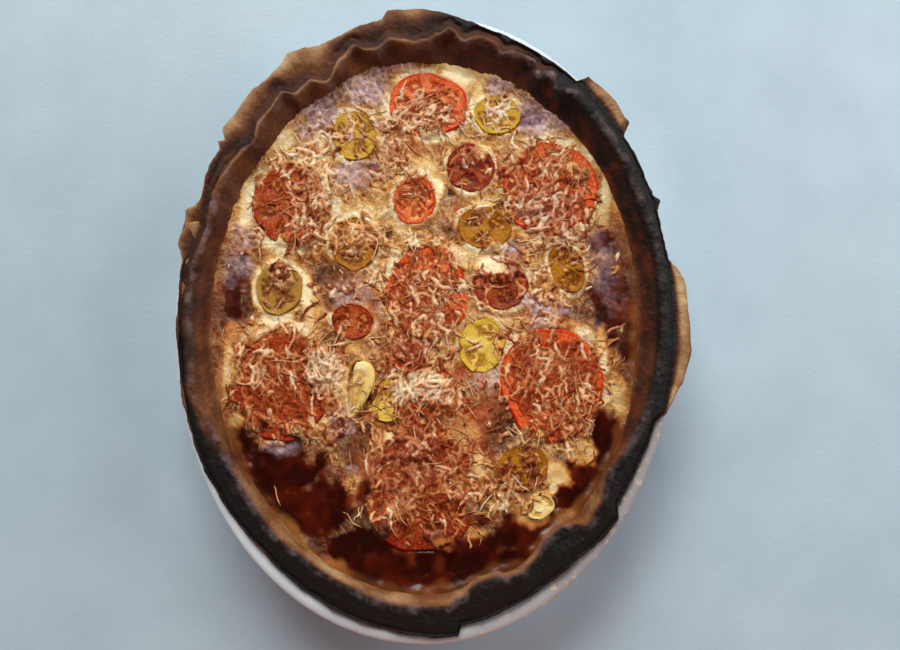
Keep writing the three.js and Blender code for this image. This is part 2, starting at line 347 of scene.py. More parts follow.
def roasted_tomato(name, skin, flesh, hollow, core, seed):
    """Skin round the edge, flesh, softer hollows with seeds, and a paler core."""
    finish = Finish(name)
    patches = finish.grain(5, detail=4) - 0.5
    flecks = finish.grain(0.8, detail=3) - 0.5
    rind = finish.mask("skin")
    browned = finish.between(patches + finish.mask("browned") - 0.5, 0.0, 0.45)
    film = finish.between(finish.threads(5) + finish.threads(2.6), 0.1, 1.1) * (1.0 - rind)
    colour = finish.coats(
        flesh, (core, finish.mask("core")), (hollow, finish.mask("hollow")), (skin, rind),
        (seed, finish.mask("seed")), (rgb(116, 40, 12), browned * 0.8), (seed, film * 0.4))
    specks = finish.ramp(flecks + 0.5, [(0.3, (0.6, 0.5, 0.42)), (0.62, (1.0, 1.0, 1.0))])
    colour = finish.blend(colour, specks, 0.55, how="MULTIPLY")
    roughness = 0.34 + 0.3 * flecks
    normal = finish.relief(finish.grain(1.5, detail=4), 0.5)
    return finish.shade(colour, roughness, normal, {
        "Subsurface Weight": 0.1, "Subsurface Radius": (1.0, 0.35, 0.15),
        "Subsurface Scale": 1.0 * MM, "Specular IOR Level": 0.12})


def melted_cheese():
    """Pale to toasted by tone; mauve where it caught, with a painted lavender reflection; painted
    shade in the gaps between strands.
    """
    finish = Finish("melted_cheese")
    mottle = finish.grain(1.8, detail=3) - 0.5
    broad = finish.grain(7, detail=3) - 0.5
    hairs = finish.threads(2.2)
    rosy = finish.mask("rosy")
    tone = finish.mask("tone") - rosy * 0.16 + mottle * 0.3 + broad * 0.45 + hairs * 0.26 - 0.13
    colour = finish.ramp(tone, [
        (0.0, rgb(84, 26, 3)), (0.22, rgb(138, 64, 22)), (0.45, rgb(192, 120, 62)),
        (0.7, rgb(238, 182, 120)), (1.0, rgb(255, 234, 194))])
    # Where the cheese caught: toasted browns, and pale lavender tones that are a painted
    # reflection.
    caught_and_sheen = finish.ramp(tone, [
        (0.1, rgb(84, 32, 24)), (0.35, rgb(150, 96, 86)), (0.6, rgb(206, 164, 158)),
        (0.9, rgb(240, 218, 214))])
    shade = finish.blend(rgb(140, 72, 24), rgb(94, 20, 3), rosy)
    colour = finish.coats(colour, (caught_and_sheen, finish.mask("mauve") * 0.55),
                          (rgb(188, 54, 10), rosy * 0.7), (shade, finish.mask("gap") * 0.8))
    normal = finish.relief(finish.grain(0.9, detail=4) + hairs * 0.8, 0.4)
    return finish.shade(colour, 0.56 + 0.2 * mottle, normal, {
        "Subsurface Weight": 0.12, "Subsurface Radius": (1.0, 0.6, 0.35),
        "Subsurface Scale": 0.8 * MM, "Specular IOR Level": 0.16})


def pale_tabletop():
    finish = Finish("pale_tabletop")
    colour = finish.ramp(finish.grain(60, detail=6), [
        (0.35, rgb(169, 193, 207)), (0.65, rgb(177, 201, 215))])
    normal = finish.relief(finish.grain(2.5, detail=3), 0.15)
    return finish.shade(colour, 0.5 + 0.1 * finish.grain(20), normal)


# ---- Making pieces ------------------------------------------------------------------------

def grid_faces(rows, columns, wrap_rows=False, wrap_columns=True):
    """Four-cornered faces over rows of points; rows and columns may close into rings."""
    row, column = np.meshgrid(np.arange(rows if wrap_rows else rows - 1),
                              np.arange(columns if wrap_columns else columns - 1), indexing="ij")
    following = (column + 1) % columns
    here = row * columns
    there = (row + 1) % rows * columns
    return np.stack([here + column, here + following, there + following, there + column],
                    -1).reshape(-1, 4)


def fan(centre, ring):
    """Triangles from a middle point to a ring of points."""
    return [[centre, here, there] for here, there in zip(ring, [*ring[1:], ring[0]])]


def make_piece(name, points, faces, material, stands_for, masks):
    """A smooth-shaded mesh from points in millimetres, riding on the quiche."""
    mesh = bpy.data.meshes.new(name)
    mesh.from_pydata((np.asarray(points) * MM).tolist(), [], [list(face) for face in faces])
    mesh.polygons.foreach_set("use_smooth", [True] * len(mesh.polygons))
    for mask, values in masks.items():
        attribute = mesh.attributes.new(mask, "FLOAT", "POINT")
        attribute.data.foreach_set("value", np.asarray(values, np.float32).ravel())
    mesh.materials.append(material)
    piece = bpy.data.objects.new(name, mesh)
    bpy.context.collection.objects.link(piece)
    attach(piece, "root")
    if stands_for:
        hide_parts(*stands_for)
    return piece


def smooth_line(controls, steps, closed):
    """Points along a soft curve through the controls, whose first axis runs along it."""
    before, after = (controls[-1:], controls[:2]) if closed else (controls[:1], controls[-1:])
    padded = np.concatenate([before, controls, after])
    line = []
    for a, b, c, d in zip(padded, padded[1:], padded[2:], padded[3:]):
        for s in np.arange(steps) / steps:
            line.append(0.5 * (2 * b + (c - a) * s + (2 * a - 5 * b + 4 * c - d) * s ** 2
                               + (3 * b - a - 3 * c + d) * s ** 3))
    if not closed:
        line.append(controls[-1])
    return np.array(line)


def angle_at(x, y):
    """The angle, as on_ellipse takes it, of a place on the dish."""
    return np.arctan2(y / RIM_Y, x / RIM_X)


def on_ellipse(angle, share, height):
    return np.stack([RIM_X * share * np.cos(angle), RIM_Y * share * np.sin(angle), height], -1)


# ---- The dish -----------------------------------------------------------------------------

DISH_STATIONS = 384
DISH_FLOOR = 6.5
# How much painted shade darkens the lip's outer side, round the dish.
SHADED_LIP = {0: 0.6, 60: 0.0, 230: 0.0, 262: 0.5, 285: 0.7, 305: 1.0, 345: 1.0}


def make_dish():
    """Flat base, sloping wall, rounded lip, and the inside that the pastry lies on."""
    section = np.array([
        [inset(60), 0], [inset(37), 0], [inset(34.5), 0.1], [inset(32), 0.9], [inset(30), 2.4],
        [inset(28), 5], [inset(16), 21.5], [inset(3.6), 38.3], [inset(0.7), 41.4],
        [inset(-1.2), 42.8], [inset(-1.8), 44.6], [inset(-1.1), 46.1], [inset(0.6), LIP - 0.1],
        [inset(2.8), LIP - 0.05], [inset(4.9), 46.3], [inset(6.2), 45.2], [inset(9.5), 40],
        [inset(20), 25.8], [inset(31), 11], [inset(36), 7.1], [inset(60), 6.6]])
    line = smooth_line(section, 3, closed=False)
    angle = np.linspace(0, 2 * math.pi, DISH_STATIONS, endpoint=False)
    points = on_ellipse(angle[None], line[:, :1] + 0 * angle, line[:, 1:] + 0 * angle)
    points = points.reshape(-1, 3)
    count = len(points)
    faces = grid_faces(len(line), DISH_STATIONS).tolist()
    faces += fan(count, range(DISH_STATIONS)[::-1])
    faces += fan(count + 1, range(count - DISH_STATIONS, count))
    points = np.vstack([points, [[0, 0, 0], [0, 0, DISH_FLOOR]]])
    soiled = ease(LIP - 9, LIP, points[:, 2])
    angle = angle_at(points[:, 0], points[:, 1])
    # Painted shade on the outer side of the lip, strongest from 305 to 345 degrees.
    dull = ease(LIP - 14, LIP - 6, points[:, 2]) * around(angle, SHADED_LIP)
    make_piece("white_dish", points, faces, white_glaze(),
               ["baking_dish"], {"soiled": soiled, "dull": dull})


# ---- The pastry crust ---------------------------------------------------------------------
# All keys are {degrees from +X: value}. The four outlines are shares of the lip's own ellipse.
# STANDING_FOLD is 1 where the edge stands up as a thin fold and 0 where it rolls over.
# LEANING_IN is 1 where the paler wall shows right up to the crest.
# Toast goes from 0, pale, to 1, black.

FLAP_EDGE = {
    0: 1.057, 5: 1.055, 7: 1.04, 9.5: 1.0, 19: 1.006, 20.5: 1.03, 22: 1.008, 35: 1.01, 36.5: 1.05,
    38: 1.047, 41: 1.056, 49: 1.04, 50.5: 0.995, 60: 0.988, 75: 0.99, 80: 1.002, 87: 1.02,
    93: 1.024, 99.5: 1.03, 100.6: 1.002, 110: 1.0, 117: 1.0, 120: 1.02, 124.3: 1.047,
    126.5: 1.026, 131: 1.024, 135: 1.036, 140: 1.032, 144.5: 1.04, 146: 1.01, 147: 1.03,
    148.2: 1.008, 154: 1.008, 160: 0.998, 161.5: 1.03, 168: 1.03, 171: 1.0, 180: 0.996,
    205: 0.995, 212: 0.987, 222: 0.975, 230: 0.964, 245: 0.967, 262: 0.975, 275: 0.99,
    277.6: 0.992, 278.6: 0.966, 290: 0.96, 300: 0.96, 308: 0.966, 315: 0.984, 319.5: 0.99,
    321.5: 0.962, 332: 0.97, 339: 0.98, 341.5: 1.01, 345: 1.03, 348: 1.05, 352: 1.068, 358: 1.064,
}
CREST_LINE = {
    0: 0.962, 12: 0.968, 24: 0.955, 30: 0.966, 40: 0.958, 49: 0.955, 53: 0.922, 56: 0.95,
    59: 0.926, 62: 0.955, 64: 0.953, 67: 0.943, 69.5: 0.92, 72: 0.944, 75: 0.95, 77: 0.946,
    80: 0.921, 84: 0.955, 87: 0.935, 90: 0.91, 93: 0.902, 96: 0.915, 100: 0.926, 103.5: 0.903,
    106: 0.91, 109: 0.941, 113: 0.915, 118.5: 0.868, 123: 0.91, 127: 0.905, 130: 0.947, 134: 0.93,
    138: 0.93, 142: 0.905, 146: 0.93, 150: 0.945, 155: 0.95, 163: 0.93, 168: 0.94, 172: 0.952,
    178: 0.96, 186: 0.945, 195: 0.955, 202: 0.926, 208: 0.906, 217: 0.896, 230: 0.9, 240: 0.89,
    250: 0.893, 262: 0.904, 270: 0.908, 276: 0.908, 279: 0.892, 284: 0.862, 289: 0.862,
    292: 0.884, 295: 0.89, 299: 0.878, 304: 0.851, 308: 0.858, 311: 0.884, 314: 0.922, 319: 0.914,
    324: 0.887, 328: 0.896, 331: 0.911, 340: 0.936, 350: 0.955,
}
INNER_LIP = {
    0: 0.928, 30: 0.925, 49: 0.922, 53: 0.893, 56: 0.922, 59: 0.9, 62: 0.936, 69.5: 0.902,
    75: 0.93, 80: 0.902, 84: 0.936, 90: 0.892, 93: 0.884, 100: 0.907, 103.5: 0.885, 109: 0.922,
    113: 0.896, 118.5: 0.85, 123: 0.891, 127: 0.887, 130: 0.927, 138: 0.912, 142: 0.886,
    150: 0.92, 155: 0.924, 163: 0.9, 172: 0.92, 190: 0.91, 202: 0.9, 208: 0.882, 217: 0.873,
    230: 0.876, 240: 0.868, 250: 0.871, 262: 0.881, 270: 0.884, 276: 0.884, 279: 0.867, 284: 0.84,
    289: 0.84, 292: 0.862, 295: 0.869, 299: 0.858, 304: 0.831, 308: 0.838, 311: 0.862, 314: 0.898,
    319: 0.891, 324: 0.865, 328: 0.874, 331: 0.889, 345: 0.918,
}
FILLING_EDGE = {
    0: 0.872, 20: 0.88, 45: 0.875, 55: 0.865, 75: 0.86, 100: 0.86, 107: 0.875, 118: 0.862,
    135: 0.866, 155: 0.88, 208: 0.88, 225: 0.866, 250: 0.874, 276: 0.874, 286: 0.858, 295: 0.874,
    305: 0.855, 315: 0.876, 335: 0.88, 350: 0.872,
}
STANDING_FOLD = {0: 0, 50: 0, 60: 1, 172: 1, 190: 0.3, 206: 0}
LEANING_IN = {0: 0.1, 30: 0, 196: 0, 215: 1, 330: 1, 348: 0.3}
FLAP_TOAST = {
    0: 0.3, 8: 0.34, 10: 0.95, 34: 0.95, 36: 0.62, 38: 0.34, 47: 0.34, 49.5: 0.7, 52: 0.95,
    70: 0.95, 80: 0.84, 87: 0.56, 93: 0.38, 101: 0.46, 118: 0.36, 124: 0.26, 130: 0.34, 144: 0.3,
    147: 0.48, 155: 0.42, 163: 0.34, 170: 0.38, 178: 0.55, 190: 0.72, 196: 0.55, 204: 0.6,
    210: 0.93, 224: 0.95, 229: 0.62, 234: 0.95, 300: 0.97, 335: 0.95, 341: 0.6, 345: 0.36,
    352: 0.4,
}
CREST_TOAST = {
    0: 1.15, 56: 1.1, 62: 0.78, 84: 0.66, 100: 0.6, 150: 0.6, 162: 0.7, 175: 0.84, 185: 0.92,
    195: 0.72, 203: 0.72, 208: 0.9, 222: 1.02, 236: 1.15, 350: 1.15,
}
WALL_TOAST = {
    0: 0.82, 10: 0.82, 30: 0.86, 42: 0.96, 56: 0.94, 64: 0.76, 100: 0.68, 150: 0.64, 172: 0.66,
    184: 0.72, 195: 0.56, 203: 0.56, 208: 0.7, 215: 0.5, 240: 0.5, 243: 0.4, 250: 0.4, 262: 0.46,
    300: 0.48, 312: 0.5, 330: 0.62, 345: 0.76,
}
FOOT_TOAST = {
    0: 0.56, 14: 0.56, 30: 0.6, 45: 0.66, 60: 0.7, 110: 0.66, 150: 0.62, 175: 0.54, 190: 0.46,
    210: 0.54, 226: 0.56, 243: 0.3, 252: 0.38, 262: 0.56, 278: 0.54, 284: 0.34, 292: 0.54,
    304: 0.38, 312: 0.52, 330: 0.54, 345: 0.56,
}
# How strongly a painted highlight lies along the crest's ridge, round the dish.
RIDGE_HIGHLIGHT = {
    0: 0.15, 12: 0.5, 40: 0.6, 51: 1.2, 60: 1.2, 75: 0.5, 100: 0.45, 130: 0.7, 165: 0.8, 185: 0.4,
    205: 0.6, 240: 0.5, 320: 0.5, 340: 0.5,
}
RUSTY_WALL = {0: 1, 45: 1, 75: 0.4, 190: 0.4, 215: 1}
LUMPY_EDGE = {0: 0.7, 60: 1.0, 145: 0.6, 150: 1.8, 205: 1.8, 215: 0.8}
CRUST_STATIONS = 1080
SECTION_STEPS = 5
FLAP_THICK = 2.2


def bed_height(share):
    """Height of the dish's inside, on which the pastry lies."""
    shares = [inset(36), inset(31), inset(9.5), inset(6), inset(3.5)]
    return np.interp(share, shares, [7, 11, 40, 45.6, LIP])


def crust_controls(angle):
    """[share, height, toast] of the section's controls, from under the flap round to the foot."""
    edge = around(angle, FLAP_EDGE, soft=False)
    crest, inside, foot, fold, lean = (around(angle, keys) for keys in (
        CREST_LINE, INNER_LIP, FILLING_EDGE, STANDING_FOLD, LEANING_IN))
    flap_toast, crest_toast, wall_toast, foot_toast = (around(angle, keys) for keys in (
        FLAP_TOAST, CREST_TOAST, WALL_TOAST, FOOT_TOAST))
    arc = angle * MEAN_RADIUS
    top = mix(CREST, CREST - 2.2, fold) - 0.9 + 0.7 * cloud(arc, arc * 0, 17, 11, 2)
    flap_top = LIP + 0.45 + FLAP_THICK + 0.5 * cloud(arc, arc * 0, 13, 21, 2)
    root = np.minimum(edge - 0.012, mix(0.998, crest + 0.034, fold))
    trough = flap_top - mix(0.4, 1.5, fold)
    under = bed_height(np.minimum(edge, 0.9767)) + 0.5

    def slid(share):
        return np.minimum(share, edge - 0.005)

    rows = [
        [inset(22), 23.5, 0.7],
        [inset(10.2), 39.9, 0.7],
        [slid(inset(6.3)), bed_height(slid(inset(6.3))) + 0.5, 0.7],
        [slid(0.984), bed_height(slid(0.984)) + 0.6, flap_toast],
        [edge - 0.002, under + 0.2, flap_toast + 0.12],
        [edge, mix(under, flap_top, 0.62), flap_toast + 0.16],
        [edge - 0.005, flap_top, flap_toast + 0.06],
        [mix(edge, root, 0.55), flap_top + 0.1, flap_toast + mix(0.08, 0.26, fold)],
        [root, trough, mix(1.15, 0.74, fold)],
        [mix(root, crest, 0.35), mix(mix(flap_top, top, 0.62), trough + 0.4, fold),
         mix(1.15, 0.76, fold)],
        [mix(root, crest, 0.72), mix(top - 0.5, top - 1.3, fold), mix(crest_toast, 0.72, fold)],
        # Along a standing fold the crest is 0.1 paler: partly its lighter baked edge, partly a
        # painted highlight line.
        [crest, top, crest_toast - 0.1 * fold],
        [mix(crest, inside, 0.6), top - mix(1.0, 1.1, fold),
         mix(crest_toast, wall_toast, 0.45 + 0.35 * lean)],
        [inside, top - 4.4, wall_toast],
        [mix(inside, foot, 0.55), mix(LEVEL, top, 0.36), wall_toast + 0.03],
        [foot, LEVEL + 0.7, foot_toast],
        [foot - 0.004, LEVEL - 5, foot_toast],
        [inset(30), 21, 0.6],
    ]
    return np.array([[value + 0 * angle for value in row] for row in rows])


def make_crust():
    """The section swept round the dish, roughened along its own normals."""
    angle = np.linspace(0, 2 * math.pi, CRUST_STATIONS, endpoint=False)
    line = smooth_line(crust_controls(angle), SECTION_STEPS, closed=True)
    share, height, toast = line[:, 0], line[:, 1], line[:, 2]
    points = on_ellipse(angle[None] + 0 * share, share, height)
    across = np.roll(points, -1, 0) - np.roll(points, 1, 0)
    along = np.roll(points, -1, 1) - np.roll(points, 1, 1)
    out = np.cross(across, along)
    out = out / np.maximum(np.linalg.norm(out, axis=2, keepdims=True), 1e-9)
    x, y, z = np.moveaxis(points, 2, 0)
    shown = ease(LEVEL - 3, LEVEL + 3, z)
    lumpy = around(angle, LUMPY_EDGE)
    bumps = (0.55 * cloud(x + 0.6 * z, y - 0.8 * z, 9, 31, 2) * lumpy
             + 0.22 * cloud(x - 0.7 * z, y + 0.9 * z, 2.6, 41, 2)
             + 0.10 * cloud(x + 1.3 * z, y - 1.1 * z, 1.1, 51))
    torn = ease(0.975, 1.01, share) * cloud(angle * MEAN_RADIUS, share * 90, 3.2, 61, 2)
    points = points + out * ((bumps + 0.25 * torn) * shown)[..., None]
    toast = toast + 0.1 * cloud(x, y, 12, 71, 2)
    rust = shown * ease(CREST - 1.5, LEVEL + 4, z) * ease(0.97, 0.92, share)
    rust = rust * around(angle, RUSTY_WALL)
    crest = around(angle, CREST_LINE)
    ridge = ease(0.022, 0.006, np.abs(share - crest + 0.006))
    # Painted highlight along the crest's ridge.
    ash = shown * ridge * around(angle, RIDGE_HIGHLIGHT)
    faces = grid_faces(len(line), CRUST_STATIONS, wrap_rows=True)
    make_piece("pastry_case", points.reshape(-1, 3), faces, baked_pastry(),
               ["pastry_crust"], {"toast": toast, "rust": rust, "ash": ash})


# ---- The custard --------------------------------------------------------------------------
# Spots are (x, y, half width, half length, strength), in millimetres.

CREAM_SPOTS = [
    (18, 140, 13, 8, 1.0), (30, 125, 4, 11, 0.8), (7, 74, 5, 7, 1.0), (2, 87, 7, 5, 0.5),
    (103, 72, 3, 14, 0.9), (-103, 62, 4, 18, 0.9), (-83, 102, 7, 5, 0.9), (-72, -7, 8, 3, 1.0),
    (-94, 12, 4, 11, 1.0), (-68, 12, 4, 13, 1.0), (-82, -2, 11, 4, 1.0), (-82, 38, 9, 4, 0.8),
    (25, 37, 9, 4, 0.8), (36, 27, 8, 6, 1.0), (34, 66, 7, 4, 0.6), (-11, 28, 4, 5, 0.7),
    (-110, -31, 3, 16, 0.6), (-103, -60, 4, 4, 0.7), (99, -23, 3, 11, 0.7),
    (107, -47, 4, 12, 0.7), (87, -77, 7, 8, 0.6), (70, -96, 3, 4, 1.0), (58, -109, 8, 7, 0.7),
    (20, -67, 11, 6, 0.5), (29, -82, 3, 13, 0.7), (27, -120, 6, 3, 0.5), (-20, -72, 3, 7, 0.9),
    (-61, -36, 7, 13, 0.8), (-4, -43, 14, 7, 0.8), (-39, 52, 12, 10, 0.6),
    (-71, 90, 13, 13, 0.55), (102, 58, 4, 8, 0.6), (22, 30, 5, 4, 0.6), (47, -4, 8, 3, 0.6),
    (-108, -9, 4, 6, 0.5), (71, -89, 7, 7, 0.8), (64, -99, 7, 4, 0.6), (9, -125, 6, 4, 0.6),
    (-42, -20, 8, 3, 0.6), (-27, -52, 4, 8, 0.8), (-12, 130, 6, 4, 0.5), (-38, -44, 9, 17, 0.5),
]
SCORCHED_SPOTS = [
    (-36, 132, 17, 13, 1.0), (-12, 146, 8, 4, 0.5), (-61, 118, 11, 10, 1.0),
    (-70, 109, 7, 6, 0.9), (-46, 81, 13, 9, 1.0), (-31, 84, 7, 6, 0.8), (66, 116, 13, 11, 1.0),
    (44, 135, 9, 7, 0.9), (101, 28, 8, 20, 0.45), (66, 3, 10, 9, 1.0), (51, 38, 9, 5, 0.9),
    (-41, 12, 11, 8, 0.8), (36, -34, 8, 9, 0.7), (-44, -58, 7, 11, 1.0), (-80, -74, 12, 5, 0.9),
    (-104, 46, 9, 12, 0.75), (-80, 120, 6, 6, 0.7), (-104, 28, 8, 8, 0.6),
]
DARK_SPOTS = [
    (-78, -86, 24, 17, 1.0), (-58, -108, 27, 18, 1.0), (-36, -128, 24, 13, 1.0),
    (-10, -136, 30, 11, 1.0), (24, -131, 28, 14, 1.0), (52, -122, 18, 12, 0.9),
    (80, -94, 15, 16, 1.0), (99, -70, 9, 13, 1.0), (-109, 8, 8, 22, 0.8),
    (-34, -74, 14, 16, 0.62), (-106, -51, 3, 11, 0.5), (104, 2, 10, 30, 0.8),
    (112, -26, 6, 28, 0.6), (35, -60, 11, 20, 0.62), (-100, -62, 6, 8, 0.5), (-8, -48, 9, 6, 0.3),
    (-24, -112, 20, 14, 0.5), (62, -12, 10, 6, 0.4), (-38, 8, 14, 9, 0.5),
    (-26, 100, 12, 14, 0.35), (-60, 30, 10, 7, 0.45), (-55, 46, 8, 8, 0.3), (-100, 8, 6, 14, 0.6),
    (-10, -26, 10, 8, 0.5), (-52, 4, 7, 5, 0.5), (-54, 22, 14, 9, 0.55), (60, 45, 15, 4, 0.5),
    (100, 42, 6, 8, 0.9), (86, 0, 9, 6, 0.5), (-30, -72, 8, 8, 0.5), (-36, 104, 6, 7, 0.4),
    (-9, 98, 8, 6, 0.4), (62, 115, 9, 6, 0.9), (20, 46, 6, 4, 0.5), (75, -2, 7, 4, 0.6),
    (80, 20, 6, 6, 0.4),
]
GOLD_SPOTS = [
    (-42, 26, 12, 9, 0.9), (-1, -26, 6, 4, 0.6), (39, 17, 5, 5, 0.4), (-52, -78, 8, 5, 0.7),
    (-91, -113, 4, 14, 0.6), (-67, -129, 5, 9, 0.6), (-83, 15, 10, 11, 0.55),
    (33, 49, 15, 11, 0.6),
]
GOLD_EDGE = {
    0: 0.3, 20: 0.4, 45: 0.2, 60: 0.0, 185: 0.0, 203: 0.5, 222: 0.3, 230: 0.9, 246: 0.9, 254: 0.3,
    268: 0.4, 278: 0.5, 290: 0.3, 306: 0.5, 311: 0.9, 316: 0.5, 334: 0.4, 340: 0.8, 348: 0.5,
}
# How darkly the custard caught along the pastry.
DARK_EDGE = {
    0: 0.75, 14: 0.6, 30: 0.35, 48: 0.1, 60: 0.0, 150: 0.0, 168: 0.3, 178: 0.6, 188: 0.5,
    203: 0.4, 208: 0.95, 226: 0.95, 234: 0.6, 246: 0.7, 254: 0.95, 306: 0.95, 311: 0.4, 316: 0.9,
    333: 0.95, 338: 0.15, 346: 0.15, 350: 0.8,
}
# Where tomato juice has coloured custard and cheese.
JUICY_SPOTS = [
    (3, -3, 17, 14, 0.9), (20, -40, 17, 26, 0.8), (0, -60, 28, 16, 0.8), (-35, -4, 15, 9, 0.7),
    (-55, -26, 12, 9, 0.5), (0, -92, 34, 32, 0.5), (-80, -18, 26, 10, 0.6), (-6, 100, 9, 12, 0.4),
    (44, 84, 12, 8, 0.5), (18, 56, 12, 8, 0.3), (40, -10, 12, 6, 0.5), (-14, -24, 16, 10, 0.8),
]
# Cells across the top, and how far the sides draw in, where they end, and the underside's middle.
CUSTARD_CELLS = 288
CUSTARD_TAPER = 0.905
CUSTARD_FOOT = 13
CUSTARD_BASE = 10.5
# Degrees that the slices' ovals are turned by.
SLICE_TURNS = {
    "tomato_large_2": 8, "tomato_large_3": -20, "tomato_large_5": 15, "tomato_small_1": -8,
    "tomato_small_2": 10, "tomato_small_4": -15, "tomato_small_5": 10, "yellow_tomato_1": 12,
    "yellow_tomato_5": -6, "yellow_tomato_6": 18, "yellow_tomato_7": -14,
    "yellow_tomato_8": -12, "yellow_tomato_9": 20, "yellow_tomato_10": 25,
}
# Where cheese and custard have baked right over the slices.
COVERED_SPOTS = [
    (-60, 70, 10, 21, 1.0), (-62, 88, 14, 6, 0.8), (42, 28, 14, 9, 1.0), (25, 92, 9, 7, 1.0),
    (-5, -72, 16, 9, 0.8), (-42, 44, 9, 8, 0.9), (0, -44, 14, 8, 1.0), (-56, -31, 7, 11, 1.0),
    (60, 64, 14, 8, 0.9), (78, 48, 15, 9, 0.7), (87, -53, 7, 9, 0.9), (2, 110, 11, 7, 0.8),
    (-12, 12, 6, 9, 0.5), (-81, 19, 8, 8, 0.8), (28, -80, 5, 15, 0.7), (58, -80, 8, 6, 0.6),
    (-7, -20, 9, 6, 0.8), (-24, -110, 10, 5, 0.6), (-98, -58, 12, 10, 1.0),
    (-72, -64, 14, 6, 0.9), (-104, -32, 5, 18, 0.9), (62, -64, 10, 7, 0.9), (94, -60, 8, 10, 0.8),
    (84, 82, 10, 8, 0.7), (-30, -92, 7, 14, 0.8), (26, -106, 8, 8, 0.6), (-72, 44, 14, 5, 0.7),
    (52, 90, 8, 6, 0.7), (-16, 108, 6, 8, 0.6), (8, -12, 8, 5, 0.5), (70, -22, 6, 10, 0.4),
    (-42, -6, 8, 6, 0.5), (10, -121, 8, 5, 1.0), (-22, -117, 6, 5, 0.8),
]


def slice_shape(name):
    """Middle, half width, half length and turn of a slice's oval."""
    low, high = node_box(name)
    half = (high - low) / 2
    turn = math.radians(SLICE_TURNS.get(name, 0))
    across, down = math.cos(turn) ** 2, math.sin(turn) ** 2
    width = math.sqrt((half[0] ** 2 * across - half[1] ** 2 * down) / (across - down))
    length = math.sqrt((half[1] ** 2 * across - half[0] ** 2 * down) / (across - down))
    return (low + high) / 2, width, length, turn


SLICE_SHAPES = {name: slice_shape(name) for name in SLICES}


def slice_reach(x, y, names=SLICES):
    """Least distance to a slice's middle, where 1 is its edge."""
    nearest = np.full(np.shape(x), 9.0)
    for name in names:
        middle, width, length, turn = SLICE_SHAPES[name]
        along_x = (x - middle[0]) * math.cos(turn) + (y - middle[1]) * math.sin(turn)
        along_y = (y - middle[1]) * math.cos(turn) - (x - middle[0]) * math.sin(turn)
        nearest = np.minimum(nearest, np.hypot(along_x / width, along_y / length))
    return nearest


def custard_level(x, y):
    """The broad swells of the baked custard."""
    along = np.sin(x / 31 + 0.6) * np.cos(y / 37 - 0.4)
    across = np.sin((x + y) / 53 + 1.9)
    return LEVEL + SWELL * (0.6 * along + 0.4 * across)


def edge_distance(x, y):
    """Millimetres from the pastry's inner foot."""
    reach = around(angle_at(x, y), FILLING_EDGE)
    return (reach - np.hypot(x / RIM_X, y / RIM_Y)) * MEAN_RADIUS


def custard_masks(x, y):
    """Shares, 0 to 1, of all that colours and roughens the baked top; bake may pass either end."""
    near_edge = edge_distance(x, y)
    angle = angle_at(x, y)
    cream = spots(x, y, CREAM_SPOTS, 101)
    scorch = spots(x, y, SCORCHED_SPOTS, 102, ragged=0.5)
    ragged_edge = near_edge + 3 * cloud(x, y, 9, 105, 2)
    dark = np.maximum(spots(x, y, DARK_SPOTS, 103, ragged=0.45),
                      around(angle, DARK_EDGE) * ease(14, 7, ragged_edge))
    dark = dark * (1 - 0.9 * cream)
    gold = spots(x, y, GOLD_SPOTS, 104)
    rim_gold = around(angle, GOLD_EDGE) * ease(5, 1, ragged_edge)
    gold = np.maximum(gold * (1 - dark), rim_gold)
    # More baked, so darker, towards -Y: partly a browner lower half, partly painted shade on the
    # side away from the light.
    bake = 0.46 - 0.13 * y / RIM_Y + 0.12 * ease(-0.1, -0.7, y / RIM_Y)
    bake = bake + 0.34 * cloud(x, y, 12, 106, 2)
    reach = slice_reach(x, y)
    rim = ease(1.3, 1.08, reach) * ease(0.96, 1.02, reach) * ease(-0.55, 0.1, y / RIM_Y)
    bake = bake - 0.45 * rim * (1 + cloud(x, y, 9, 109, 2))
    deep = 0.97 + 0.15 * cloud(x, y, 9, 110, 3)
    bake = mix(bake, deep, dark * (1 - 0.5 * rim_gold))
    bake = mix(bake, 0.03, cream)
    cheesy = np.clip(0.95 + 0.5 * cloud(x, y, 12, 108, 2), 0, 1) * np.clip(1 - 1.3 * dark, 0, 1)
    return {"bake": bake, "scorch": scorch * (1 - cream) * (1 - 0.6 * dark), "gold": gold,
            "wet": np.clip(np.maximum(dark, 0.8 * gold), 0, 1), "cream": cream, "dark": dark,
            "cover": spots(x, y, COVERED_SPOTS, 107, ragged=0.45),
            "rosy": spots(x, y, JUICY_SPOTS, 118, ragged=0.4) * (1 - 0.7 * cream),
            "cheesy": cheesy * (1 - 0.85 * cream) * (1 - 0.8 * gold) * (1 - 0.5 * scorch)}


def custard_height(x, y, masks):
    """Height of the baked top; adds to the masks where melted strands stand as crests."""
    rough = np.clip(1 - 1.2 * masks["dark"], 0, 1) * (1 - 0.6 * masks["cream"])
    rough = rough * (1 - 0.7 * masks["gold"])
    height = custard_level(x, y)
    height = height + 0.7 * cloud(x, y, 14, 111, 2) + 0.5 * rough * cloud(x, y, 4.5, 112, 2)
    strands = np.maximum(ridges(x, y, 6.5, 113) ** 2, 0.8 * ridges(x, y, 4.1, 114) ** 2)
    masks["crest"] = rough * strands
    height = height + 1.3 * rough * strands
    height = height + 0.7 * masks["dark"] * cloud(x, y, 8, 115, 2)
    height = height + masks["scorch"] * (0.5 + cloud(x, y, 3.4, 116, 2))
    reach = slice_reach(x, y)
    over = ease(0.25, 0.75, masks["cover"]) * ease(1.15, 0.95, reach)
    height = height + 0.9 * ease(1.35, 1.05, reach)
    height = height + mix(-2.4 * ease(0.99, 0.88, reach), 1.9, over)
    return height + 1.3 * ease(5, 0, edge_distance(x, y))


